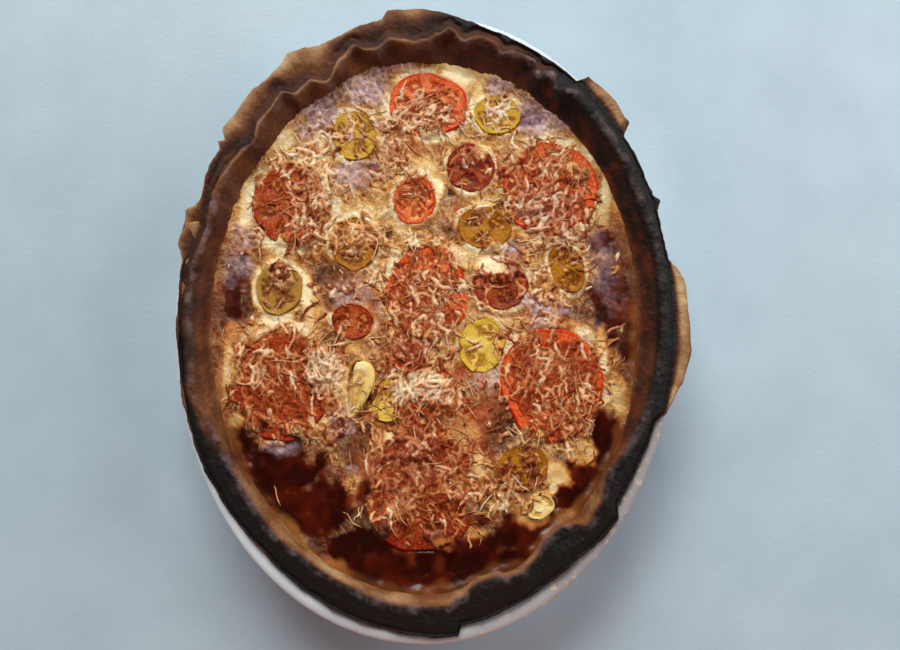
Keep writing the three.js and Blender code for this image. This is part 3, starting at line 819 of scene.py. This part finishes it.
def make_custard():
    """A baked top over evenly sized cells, with sides and an underside."""
    side = np.linspace(-1, 1, CUSTARD_CELLS + 1)
    u, v = np.meshgrid(side, side, indexing="ij")
    disc_x = u * np.sqrt(1 - v ** 2 / 2)
    disc_y = v * np.sqrt(1 - u ** 2 / 2)
    angle = np.arctan2(disc_y, disc_x)
    share = np.hypot(disc_x, disc_y) * (around(angle, FILLING_EDGE) + 0.006)
    x = RIM_X * share * np.cos(angle)
    y = RIM_Y * share * np.sin(angle)
    masks = custard_masks(x, y)
    top = np.stack([x, y, custard_height(x, y, masks)], -1).reshape(-1, 3)
    rows = CUSTARD_CELLS + 1
    faces = grid_faces(rows, rows, wrap_columns=False)[:, ::-1].tolist()
    index = np.arange(rows * rows).reshape(rows, rows)
    border = np.concatenate([index[:-1, 0], index[-1, :-1], index[:0:-1, -1], index[0, :0:-1]])
    foot = top[border] * [CUSTARD_TAPER, CUSTARD_TAPER, 0] + [0, 0, CUSTARD_FOOT]
    below = np.arange(len(foot)) + len(top)
    points = np.vstack([top, foot, [[0, 0, CUSTARD_BASE]]])
    faces += np.stack([border, below, np.roll(below, -1), np.roll(border, -1)], -1).tolist()
    faces += fan(len(points) - 1, below[::-1].tolist())
    spare = np.zeros(len(points) - len(top))
    kept = {name: np.concatenate([masks[name].ravel(), spare])
            for name in ("bake", "scorch", "gold", "wet", "cheesy", "crest", "rosy")}
    return make_piece("baked_custard", points, faces, baked_custard(),
                      ["custard_filling"], kept)


# ---- The tomato slices --------------------------------------------------------------------

# Skin, flesh, hollows, core and seeds, as screen colours.
SLICE_PALETTES = {
    "bright": [(208, 46, 10), (222, 78, 24), (176, 48, 8), (238, 140, 76), (244, 178, 110)],
    "red": [(136, 26, 3), (156, 40, 10), (112, 20, 2), (196, 102, 48), (204, 122, 56)],
    "dark": [(124, 20, 3), (138, 30, 8), (94, 14, 2), (170, 78, 36), (182, 104, 48)],
    "yellow": [(196, 158, 16), (204, 166, 40), (150, 94, 14), (208, 160, 66), (218, 170, 76)],
    "lime": [(214, 184, 20), (220, 188, 52), (176, 124, 24), (240, 208, 112), (240, 206, 110)],
    "amber": [(156, 94, 3), (168, 104, 8), (116, 56, 2), (190, 130, 40), (206, 144, 46)],
    "pale": [(174, 132, 46), (180, 138, 56), (118, 64, 20), (162, 108, 46), (198, 150, 80)],
    "cream": [(238, 216, 124), (238, 208, 132), (216, 170, 84), (252, 240, 180), (248, 220, 146)],
}
AMBER_SLICES = ["yellow_tomato_" + number for number in ("1", "3", "4", "5", "6", "9", "10")]
# Each slice: palette, number of hollows, turn of the first, share of the core, browning.
SLICE_LOOKS = {
    "tomato_large_1": ("bright", 7, 20, 0.5, 0.1), "tomato_large_2": ("red", 6, 0, 0.3, 0.35),
    "tomato_large_3": ("bright", 6, 35, 0.3, 0.42), "tomato_large_4": ("bright", 6, 12, 0.34, 0.1),
    "tomato_large_5": ("red", 8, 5, 0.3, 0.3), "tomato_large_6": ("bright", 6, 40, 0.36, 0.15),
    "tomato_large_7": ("dark", 8, 15, 0.3, 0.45), "tomato_small_1": ("bright", 4, 20, 0.3, 0.4),
    "tomato_small_2": ("dark", 3, 10, 0.22, 0.3), "tomato_small_3": ("dark", 3, 50, 0.2, 0.3),
    "tomato_small_4": ("red", 2, 10, 0.2, 0.6), "tomato_small_5": ("red", 2, 70, 0.2, 0.6),
    "tomato_small_6": ("red", 3, 25, 0.24, 0.4), "yellow_tomato_1": ("yellow", 3, 40, 0.26, 0.75),
    "yellow_tomato_2": ("yellow", 3, 80, 0.4, 0.1), "yellow_tomato_3": ("amber", 3, 20, 0.26, 0.3),
    "yellow_tomato_4": ("pale", 3, 60, 0.36, 0.3), "yellow_tomato_5": ("amber", 3, 30, 0.2, 0.3),
    "yellow_tomato_6": ("amber", 2, 90, 0.16, 0.35), "yellow_tomato_7": ("lime", 2, 75, 0.3, 0.1),
    "yellow_tomato_8": ("lime", 1, 100, 0.1, 0.1), "yellow_tomato_9": ("amber", 2, 30, 0.25, 0.4),
    "yellow_tomato_10": ("cream", 2, 10, 0.45, 0.35),
}
# The cut face's height over the solid's middle, and the depth from its rim to its foot.
SLICE_RISE = 2.3
SLICE_DEPTH = 2.9
# Degrees by which a slice tips up towards +X.
SLICE_LEANS = {"yellow_tomato_6": 9, "yellow_tomato_8": 8}
FOLD_ROWS = 40
FOLD_COLUMNS = 28
SLICE_RINGS = np.append(np.linspace(0.03, 0.9, 17) ** 0.8, [0.93, 0.95, 0.967, 0.98, 0.99, 1.0])


def make_slice(name, finishes, number):
    """A cut face with skin, wall, hollows of seeds and a core, on a body sunk in the custard."""
    palette, hollows, first, core, browning = SLICE_LOOKS[name]
    middle, width, length, turn = SLICE_SHAPES[name]
    stations = 120 if "large" in name else 84
    angle = np.linspace(0, 2 * math.pi, stations, endpoint=False)
    e, phi = np.meshgrid(SLICE_RINGS, angle, indexing="ij")
    outline = 1 + 0.06 * cloud(2.2 * np.cos(phi) + 9, 2.2 * np.sin(phi) + 9, 1, 200 + number, 2)
    across = e * outline * np.cos(phi) * width
    along = e * outline * np.sin(phi) * length
    x = middle[0] + across * math.cos(turn) - along * math.sin(turn)
    y = middle[1] + across * math.sin(turn) + along * math.cos(turn)
    drift = 0.5 * cloud(x, y, 9, 230 + number)
    wave = np.cos(hollows * (phi - math.radians(first)) + drift)
    wall = 0.8 + 0.05 * cloud(x, y, 7, 260 + number)
    hollow = (ease(-0.6, 0.0, wave) * ease(core - 0.06, core + 0.08, e)
              * ease(wall + 0.05, wall - 0.05, e))
    seed = ease(0.25, 0.55, cloud(x, y, 1.9, 290 + number)) * hollow
    heart = ease(core + 0.06, core - 0.1, e)
    web = 0.55 * ease(-0.35, -0.8, wave) * ease(core, core + 0.1, e) * ease(wall, wall - 0.1, e)
    skin = ease(0.925, 0.96, e) * ease(-0.7, 0.3, cloud(x, y, 10, 410 + number, 2))
    top = middle[2] + SLICE_RISE - 0.5 * (1 - e ** 2)
    top = top + 0.25 * cloud(x, y, 6, 320 + number, 2) + 0.12 * cloud(x, y, 1.7, 350 + number)
    top = top - 0.8 * hollow + 0.5 * seed + 0.3 * skin - 1.3 * ease(0.965, 1.0, e) ** 2
    top = top + across * math.tan(math.radians(SLICE_LEANS.get(name, 0)))
    points = np.stack([x, y, top], -1)
    foot = points[-1] - [0, 0, SLICE_DEPTH]
    rows = np.concatenate([points, foot[None]]).reshape(-1, 3)
    count = len(rows)
    faces = grid_faces(len(SLICE_RINGS) + 1, stations)[:, ::-1].tolist()
    faces += fan(count, range(stations)) + fan(count + 1, range(count - stations, count)[::-1])
    rows = np.vstack([rows, points[0].mean(0), foot.mean(0)])
    brown = browning * (0.6 + 0.6 * cloud(x, y, 8, 380 + number, 2))
    masks = {"skin": skin, "core": np.maximum(heart, web), "hollow": hollow, "seed": seed,
             "browned": np.clip(brown, 0, 1)}
    spare = np.zeros(stations + 2)
    kept = {mask: np.concatenate([value.ravel(), spare]) for mask, value in masks.items()}
    return make_piece(name.replace("tomato", "slice"), rows, faces, finishes[palette],
                      [name], kept)


def make_folded_slice(finishes):
    """A thin slice folded over and standing in the custard, its back bent into an arc."""
    low, high = node_box("yellow_tomato_folded")
    middle = (low + high) / 2
    half = (high - low) / 2
    length_way = np.linspace(-1, 1, FOLD_ROWS)
    ring_way = np.linspace(0, 2 * math.pi, FOLD_COLUMNS, endpoint=False)
    along, around_it = np.meshgrid(length_way, ring_way, indexing="ij")
    thick = np.sqrt(np.clip(1 - along ** 2, 0, 1)) ** 0.6
    side = np.sign(np.cos(around_it)) * np.abs(np.cos(around_it)) ** 0.7
    rise = np.sign(np.sin(around_it)) * np.abs(np.sin(around_it)) ** 0.8
    bend = 3.4 * (1 - along ** 2) - 1.7
    breadth = mix(2.8, 7.0, ease(-1, 0.8, along))
    x = middle[0] + 0.21 * along * half[1] + bend + breadth * side * thick
    y = middle[1] + along * (half[1] - 0.6)
    inside = ease(0.35, -0.15, side) * ease(0.75, 0.5, along) * ease(-0.95, -0.7, along)
    z = middle[2] + (half[2] - 0.4) * rise * thick ** 0.5 + 0.2 * cloud(x, y, 3, 401)
    z = z - 1.3 * inside * np.maximum(rise, 0)
    points = np.stack([x, y, z], -1).reshape(-1, 3)
    faces = grid_faces(FOLD_ROWS, FOLD_COLUMNS)[:, ::-1].tolist()
    faces.append(list(range(FOLD_COLUMNS)))
    faces.append(list(range(len(points) - FOLD_COLUMNS, len(points)))[::-1])
    rind = ease(0.1, 0.8, side)
    browned = inside * (0.6 + 0.3 * cloud(x, y, 4, 402, 2))
    masks = {"skin": rind * (1 - inside), "core": ease(0.5, 0.8, along), "hollow": inside,
             "seed": inside * ease(0.35, 0.6, cloud(x, y, 1.9, 403)),
             "browned": np.clip(browned, 0, 1)}
    return make_piece("yellow_slice_folded", points, faces, finishes["cream"],
                      ["yellow_tomato_folded"], masks)


# ---- The grated cheese --------------------------------------------------------------------
# Heaps are spots too: pale, toasted and golden cheese, and where it lies fluffy or strays.

PALE_HEAPS = [
    (-62, 72, 11, 18, 1.0), (-55, -33, 9, 11, 1.0), (0, -44, 15, 8, 1.0), (87, -51, 9, 13, 0.9),
    (-46, 47, 12, 10, 0.7), (58, 64, 15, 9, 0.8), (-90, -28, 14, 10, 0.5), (-70, 92, 14, 9, 0.7),
    (14, -95, 9, 9, 0.6), (35, -102, 8, 6, 0.6), (-12, -108, 14, 5, 0.6), (45, -96, 12, 4, 0.6),
    (42, 119, 7, 6, 0.5), (-42, 108, 6, 7, 0.4), (70, -40, 14, 16, 0.4), (4, 8, 16, 18, 0.7),
    (0, 120, 15, 8, 0.6), (-6, 44, 8, 6, 0.5),
]
TOASTED_HEAPS = [
    (42, 27, 15, 9, 1.0), (25, 91, 9, 9, 1.0), (72, 58, 22, 17, 0.7), (-8, -22, 12, 8, 0.8),
    (-5, -78, 20, 16, 0.6), (-48, 14, 12, 9, 0.7), (-22, 92, 9, 12, 0.6), (-48, -60, 8, 10, 0.7),
    (66, 5, 12, 10, 0.8), (40, -60, 8, 16, 0.6), (-81, 24, 6, 10, 0.7), (40, 119, 5, 4, 0.8),
    (-41, 103, 6, 7, 0.7), (32, 54, 5, 5, 0.8), (79, 42, 5, 6, 0.8), (84, 28, 4, 6, 0.6),
    (55, -86, 6, 4, 0.6),
]
GOLDEN_HEAPS = [
    (70, -38, 25, 26, 1.0), (0, -90, 30, 26, 1.0), (-80, -38, 24, 24, 0.9), (0, 10, 20, 24, 0.7),
    (72, 70, 24, 24, 0.9), (-21, 98, 11, 18, 0.9), (-78, 60, 18, 20, 0.7), (0, 120, 16, 12, 0.5),
    (50, -95, 20, 10, 0.6), (-20, -60, 14, 22, 0.8), (-7, 73, 8, 9, 0.5),
]
BARE_SPOTS = [
    (5, 92, 12, 12, 0.95), (-26, 66, 9, 7, 0.8), (-6, 46, 9, 6, 0.7), (36, 66, 8, 5, 0.8),
    (104, 58, 5, 16, 0.9), (-104, 62, 6, 20, 0.9), (-86, 100, 9, 7, 0.9), (-44, 60, 7, 5, 0.7),
    (-87, 63, 7, 22, 0.9), (-41, 105, 12, 17, 0.4), (-8, 56, 10, 8, 0.8), (6, 137, 18, 6, 1.0),
    (18, 123, 6, 14, 1.0), (24, 76, 11, 7, 1.0), (88, 94, 10, 8, 0.7), (54, 92, 8, 5, 0.6),
    (57, 52, 7, 8, 0.9), (5, 28, 8, 9, 0.7), (-16, 22, 5, 13, 0.5), (15, 3, 9, 8, 0.8),
    (49, 8, 9, 6, 1.0), (82, -13, 15, 5, 0.9), (97, -33, 3, 17, 0.8), (45, -39, 4, 10, 0.8),
    (51, -58, 9, 10, 0.7), (13, -104, 11, 8, 0.8), (-10, -116, 6, 5, 1.0), (71, -91, 7, 7, 0.9),
    (-102, -34, 5, 16, 0.6), (-64, -43, 5, 5, 0.8), (-58, -60, 5, 5, 0.9), (41, 117, 13, 13, 0.3),
    (32, 49, 12, 12, 0.4), (81, 25, 10, 15, 0.7), (30, -19, 11, 14, 0.75), (-21, -47, 7, 14, 0.8),
    (52, -85, 10, 8, 0.6), (63, -102, 10, 10, 0.7), (-37, -6, 7, 5, 0.6), (-4, 89, 13, 6, 0.9),
    (9, 70, 6, 6, 1.0), (-41, 28, 9, 6, 0.9), (-92, 14, 4, 12, 0.9), (-69, 14, 4, 12, 0.9),
    (-82, 0, 10, 4, 0.9), (-37, -29, 10, 19, 1.0), (28, 32, 8, 9, 0.8), (-44, 8, 12, 6, 0.6),
]
FLUFFY_HEAPS = [(-56, -31, 9, 12, 0.9), (-3, -41, 15, 8, 0.9)]
STRAY_SPOTS = [(-54, -106, 7, 6, 0.1), (-70, -98, 14, 8, 0.01)]
# Points along a melted strand and along a loose shred, and the sides of a shred.
MELTED_POINTS = 22
PATH_POINTS = 6
SHRED_SIDES = 3
# How high above the table, in metres, the rays that find the baked top start.
DRAPE_FROM = 0.12
# The melted cheese's grid: its step, its share of the lip's ellipse, the cells that one point of
# a strand can touch, the least cheese that counts, and how far it sinks into what it lies on.
MAT_STEP = 0.43
MAT_SHARE = 0.93
MAT_REACH = range(-3, 4)
LEAST_CHEESE = 0.15
CHEESE_SINK = 0.35


def scatter(count, seed, heaps, plain, strays):
    """Random places over the custard, thicker on the heaps and thin on the bare spots."""
    random = np.random.default_rng(seed)
    kept = np.zeros((0, 2))
    while len(kept) < count:
        place = random.uniform(-1, 1, (4 * count, 2)) * [0.9 * RIM_X, 0.9 * RIM_Y]
        x, y = place.T
        masks = custard_masks(x, y)
        clump = 0.75 + 0.5 * cloud(x, y, 11, seed + 1, 2)
        density = np.maximum(plain, spots(x, y, heaps, seed + 2, ragged=0.5)) * clump
        density = density * np.clip(1 - 1.1 * masks["dark"], 0, 1) * mix(1, 0.12, masks["cream"])
        density = density * mix(1, 0.3, masks["scorch"])
        density = density * (1 - 0.95 * spots(x, y, BARE_SPOTS, seed + 4, ragged=0.4))
        density = np.maximum(density, spots(x, y, strays, seed + 3))
        density = density * ease(3, 9, edge_distance(x, y))
        kept = np.vstack([kept, place[random.uniform(0, 1, len(x)) < density]])
    return kept[:count], random


def drape(surface, x, y):
    """Heights of the baked surface under each point."""
    height = np.full(np.shape(x), LEVEL)
    down = Vector((0, 0, -1))
    for index in np.ndindex(x.shape):
        hit = surface.ray_cast(Vector((x[index] * MM, y[index] * MM, DRAPE_FROM)), down)[0]
        if hit:
            height[index] = hit.z / MM
    return height


def strand_paths(count, seed, heaps, plain, lengths, curl, points=PATH_POINTS, strays=()):
    """Bent lines across the baked top: x and y of their points, and the generator used."""
    place, random = scatter(count, seed, heaps, plain, strays)
    reach = random.uniform(*lengths, count)[:, None]
    along = np.linspace(-0.5, 0.5, points)
    lay = 1.7 + 1.3 * cloud(place[:, :1], place[:, 1:], 34, seed + 5)
    direction = lay + random.normal(0, 0.7, count)[:, None]
    direction = direction + curl * random.normal(0, 1.0, count)[:, None] * along
    direction = direction + curl * random.normal(0, 0.5, count)[:, None] * np.sin(8 * along)
    x = np.cumsum(np.cos(direction) * reach / (points - 1), 1)
    y = np.cumsum(np.sin(direction) * reach / (points - 1), 1)
    x = x - x.mean(1, keepdims=True) + place[:, :1]
    y = y - y.mean(1, keepdims=True) + place[:, 1:]
    return x, y, random


def soften(field, times):
    """Averages each cell of a grid with its neighbours."""
    for _ in range(times):
        field = (np.roll(field, 1, 0) + 2 * field + np.roll(field, -1, 0)) / 4
        field = (np.roll(field, 1, 1) + 2 * field + np.roll(field, -1, 1)) / 4
    return field


# Strands melted into the top: (number, seed, heaps, share on plain ground, lengths, curl,
# widths, pile, tone).
MELTED_STRANDS = [
    (2300, 601, GOLDEN_HEAPS, 0.03, (5, 18), 0.8, (1.0, 2.1), 0.6, 0.62),
    (1500, 602, PALE_HEAPS, 0.02, (4, 14), 1.0, (1.0, 2.2), 1.1, 0.92),
    (1500, 603, TOASTED_HEAPS, 0.04, (2, 7), 1.2, (1.2, 2.4), 1.1, 0.62),
]


def melt_strands(x_cells, y_cells):
    """Thickness of melted cheese over a grid of cells, and the tone of what lies on top."""
    thickness = np.zeros((x_cells, y_cells))
    tone = np.zeros((x_cells, y_cells))
    stamps = []
    for number, seed, heaps, plain, lengths, curl, widths, pile, mean_tone in MELTED_STRANDS:
        fluffy = FLUFFY_HEAPS if heaps is PALE_HEAPS else ()
        x, y, random = strand_paths(number, seed, heaps, plain, lengths, curl, MELTED_POINTS,
                                    fluffy)
        radius = random.uniform(*widths, number)[:, None] / 2
        radius = radius * (1 + 0.25 * cloud(x, y, 2.5, seed + 7))
        radius = radius * np.sqrt(np.cos(np.linspace(-0.5, 0.5, MELTED_POINTS) * 2.6))
        lift = pile * random.uniform(0, 1, number)[:, None] ** 1.7 + 0 * x
        strand_tone = mean_tone + random.normal(0, 0.24, number)[:, None] + 0 * x
        stamps.append([values.ravel() for values in (x, y, radius, lift, strand_tone)])
    x, y, radius, lift, strand_tone = np.concatenate(stamps, 1)
    column = np.round(x / MAT_STEP).astype(int)
    row = np.round(y / MAT_STEP).astype(int)
    for fill_tone in (False, True):
        for i, j in ((i, j) for i in MAT_REACH for j in MAT_REACH):
            distance = np.hypot((column + i) * MAT_STEP - x, (row + j) * MAT_STEP - y)
            rise = lift + 0.8 * np.sqrt(np.maximum(radius ** 2 - distance ** 2, 0))
            rise = np.where(distance < radius, rise, 0)
            cell = (column + i + x_cells // 2, row + j + y_cells // 2)
            if fill_tone:
                top = (rise > 0) & (rise >= thickness[cell] - 1e-9)
                tone[cell[0][top], cell[1][top]] = strand_tone[top]
            else:
                np.maximum.at(thickness, cell, rise)
    return thickness, tone


def make_melted_cheese(surface, finish):
    """The strands as one welded relief over custard and slices, open between them."""
    x_cells = 2 * int(MAT_SHARE * RIM_X / MAT_STEP)
    y_cells = 2 * int(MAT_SHARE * RIM_Y / MAT_STEP)
    thickness, tone = melt_strands(x_cells, y_cells)
    x = (np.arange(x_cells)[:, None] - x_cells // 2) * MAT_STEP + np.zeros(y_cells)
    y = (np.arange(y_cells)[None] - y_cells // 2) * MAT_STEP + np.zeros((x_cells, 1))
    spread = soften(thickness, 16)
    under = 0.75 * spread * ease(0.3, 0.7, spread)
    welded = soften(np.maximum(thickness, under), 1)
    solid = welded > LEAST_CHEESE
    quads = solid[:-1, :-1] & solid[1:, :-1] & solid[:-1, 1:] & solid[1:, 1:]
    needed = np.zeros_like(solid)
    for i in (0, 1):
        for j in (0, 1):
            needed[i:x_cells - 1 + i, j:y_cells - 1 + j] |= quads
    ground = np.zeros_like(x)
    ground[needed] = drape(surface, x[needed], y[needed])
    masks = custard_masks(x, y)
    crumbs = masks["scorch"] + spots(x, y, TOASTED_HEAPS, 611, ragged=0.4)
    rough = 0.35 * cloud(x, y, 2.4, 612, 2) + 0.5 * np.clip(crumbs, 0, 1) * cloud(x, y, 3.1, 613, 2)
    z = ground + welded - CHEESE_SINK + rough * ease(0.3, 0.9, welded)
    edge = np.zeros_like(solid)
    edge[1:-1, 1:-1] = ~(quads[1:, 1:] & quads[:-1, 1:] & quads[1:, :-1] & quads[:-1, :-1])
    z = np.where(edge, ground - 0.4, z)
    values = {
        # Tone rises towards +Y: painted light, the strands paler on the side towards the light.
        "tone": soften(np.where(tone > 0, tone, 0.35), 1) + 0.18 * y / RIM_Y
                + 0.32 * spots(x, y, FLUFFY_HEAPS, 615)
                - 0.2 * ease(1.15, 0.85, slice_reach(x, y, AMBER_SLICES)),
        # Painted shade where the cheese lies lower than the melt around it.
        "gap": ease(0.08, -0.25, welded - spread) * ease(0.2, 0.5, spread),
        # Where the cheese caught, toasted and with its painted lavender reflection.
        "mauve": np.clip(0.9 * crumbs, 0, 1) * (0.75 + 0.5 * cloud(x, y, 6, 614)),
        "rosy": np.maximum(ease(1.05, 0.85, slice_reach(x, y, RED_SLICES)), masks["rosy"])
                * mix(0.5, 1, ease(1.3, 0.3, welded)) * mix(0.5, 1, ease(1.1, 0.75, tone))
                * mix(0.55, 1, ease(-100, -55, y)),
    }
    number = np.cumsum(needed.ravel()).reshape(needed.shape) - 1
    for part, kept in (("far", y[:-1, :-1] >= 0), ("near", y[:-1, :-1] < 0)):
        here = quads & kept
        corners = np.stack([number[:-1, :-1][here], number[1:, :-1][here], number[1:, 1:][here],
                            number[:-1, 1:][here]], -1)
        used, faces = np.unique(corners, return_inverse=True)
        points = np.stack([x[needed], y[needed], z[needed]], -1)[used]
        kept_values = {name: value[needed][used] for name, value in values.items()}
        make_piece("melted_cheese_" + part, points, faces.reshape(-1, 4), finish, (),
                   kept_values)


def make_shreds(name, finish, number, seed, heaps, plain, shape, surface):
    """Loose threads of grated cheese that lie over the melted ones."""
    lengths, widths, pile, mean_tone, curl = shape
    x, y, random = strand_paths(number, seed, heaps, plain, lengths, curl, strays=STRAY_SPOTS)
    along = np.linspace(-0.5, 0.5, PATH_POINTS)
    radius = random.uniform(*widths, number)[:, None] / 2
    ground = drape(surface, x, y)
    stiff = ground.copy()
    for _ in range(2):
        padded = np.pad(stiff, ((0, 0), (1, 1)), mode="edge")
        stiff = np.maximum(ground, (padded[:, :-2] + padded[:, 1:-1] + padded[:, 2:]) / 3)
    lift = pile * random.uniform(0, 1, number)[:, None] ** 2
    sunk = random.uniform(-0.9, 0.3, (number, 2))
    z = stiff + radius * (0.6 + mix(sunk[:, :1], sunk[:, 1:], along + 0.5))
    z = z + lift * np.cos(math.pi * along)
    centre = np.stack([x, y, z], -1)
    tangent = np.gradient(centre, axis=1)
    tangent = tangent / np.linalg.norm(tangent, axis=2, keepdims=True)
    side = np.cross([0, 0, 1.0], tangent)
    side = side / np.linalg.norm(side, axis=2, keepdims=True)
    upward = np.cross(tangent, side)
    taper = radius * np.array([0.35, 0.85, 1, 1, 0.85, 0.35])
    flat = random.uniform(0.6, 0.95, number)[:, None]
    ring = [centre + side * (math.cos(turn) * taper)[..., None]
            + upward * (math.sin(turn) * taper * flat)[..., None]
            for turn in math.pi / 2 + np.arange(SHRED_SIDES) * 2 * math.pi / SHRED_SIDES]
    points = np.stack(ring, 2).reshape(-1, 3)
    each = SHRED_SIDES * PATH_POINTS
    one = grid_faces(PATH_POINTS, SHRED_SIDES)[:, ::-1]
    faces = (one[None] + each * np.arange(number)[:, None, None]).reshape(-1, 4).tolist()
    near_end = np.arange(SHRED_SIDES)
    far_end = near_end[::-1] + SHRED_SIDES * (PATH_POINTS - 1)
    for start in range(0, each * number, each):
        faces.append((near_end + start).tolist())
        faces.append((far_end + start).tolist())
    tone = np.repeat(mean_tone + random.normal(0, 0.14, number), each)
    rosy = ease(1.05, 0.85, slice_reach(points[:, 0], points[:, 1], RED_SLICES))
    make_piece(name, points, faces, finish, (), {"tone": tone, "rosy": 0.6 * rosy})


# ---- Everything in place ------------------------------------------------------------------

make_dish()
make_crust()
custard = make_custard()

slice_finishes = {look: roasted_tomato("tomato_" + look, *(rgb(*tone) for tone in tones))
                  for look, tones in SLICE_PALETTES.items()}
slices = [make_slice(name, slice_finishes, number)
          for number, name in enumerate(name for name in SLICES if name in SLICE_LOOKS)]
slices.append(make_folded_slice(slice_finishes))

corners = []
polygons = []
for piece in [custard, *slices]:
    first = len(corners)
    corners.extend(corner.co.copy() for corner in piece.data.vertices)
    polygons.extend([first + corner for corner in face.vertices] for face in piece.data.polygons)
baked_top = BVHTree.FromPolygons(corners, polygons)

cheese = melted_cheese()
make_melted_cheese(baked_top, cheese)
make_shreds("cheese_shreds", cheese, 420, 501, GOLDEN_HEAPS, 0.06,
            ((5, 16), (0.7, 1.1), 1.4, 0.6, 0.45), baked_top)
make_shreds("cheese_pale_shreds", cheese, 420, 502, PALE_HEAPS, 0.04,
            ((5, 16), (0.7, 1.1), 1.7, 0.86, 0.5), baked_top)

# ---- The stage ----------------------------------------------------------------------------

CAMERA_TILT = math.radians(8)
CAMERA_AIM = Vector((0.0137, -0.0075, 0.046))
CAMERA_REACH = 0.412
CAMERA_LENS = 30
TABLE_SIZE = 6
TABLE_DROP = 0.0005

bpy.ops.mesh.primitive_plane_add(size=TABLE_SIZE, location=(0, 0, -TABLE_DROP))
tabletop = bpy.context.object
tabletop.name = "tabletop"
tabletop.data.materials.append(pale_tabletop())


def soft_panel(name, place, target, size, power, colour):
    """An evenly lit rectangle, such as a window or a lamp behind a diffuser."""
    light = bpy.data.lights.new(name, "AREA")
    light.shape = "RECTANGLE"
    light.size, light.size_y = size
    light.energy = power
    light.color = colour
    panel = bpy.data.objects.new(name, light)
    bpy.context.collection.objects.link(panel)
    panel.location = place
    panel.rotation_euler = (Vector(target) - Vector(place)).to_track_quat("-Z", "Y").to_euler()
    panel.visible_camera = False


soft_panel("daylight", (-0.36, 1.95, 1.66), (0, -0.02, 0.03), (1.6, 1.3), 70.0,
           (1.0, 0.985, 0.94))
soft_panel("side", (1.1, 0.4, 0.7), (0.1, -0.05, 0.0), (0.8, 0.6), 7.5, (1.0, 0.97, 0.95))
soft_panel("lamp", (0.0, -0.55, 0.22), (0, -0.17, 0.0), (0.7, 0.15), 0.5, (1.0, 0.27, 0.2))

world = bpy.data.worlds.new("soft_room")
bpy.context.scene.world = world
room = Finish("soft_room", world)
direction = room.node("ShaderNodeTexCoord", out="Generated")
height = room.node("ShaderNodeSeparateXYZ", None, {0: direction}, out="Z")
glow = 0.05 + 0.47 * room.between(height, 0.9, 0.1)
surround = room.node("ShaderNodeBackground", None,
                     {"Color": (1.0, 0.82, 0.76, 1), "Strength": glow})
room.node("ShaderNodeOutputWorld", None, {"Surface": surround}, out=None)

backward = Vector((0, -math.sin(CAMERA_TILT), math.cos(CAMERA_TILT)))
lens = bpy.data.cameras.new("camera")
lens.lens = CAMERA_LENS
lens.sensor_width = 36
camera = bpy.data.objects.new("camera", lens)
camera.location = CAMERA_AIM + CAMERA_REACH * backward
camera.rotation_euler = (CAMERA_TILT, 0, 0)
bpy.context.collection.objects.link(camera)
bpy.context.scene.camera = camera
bpy.context.scene.view_settings.view_transform = "Standard"
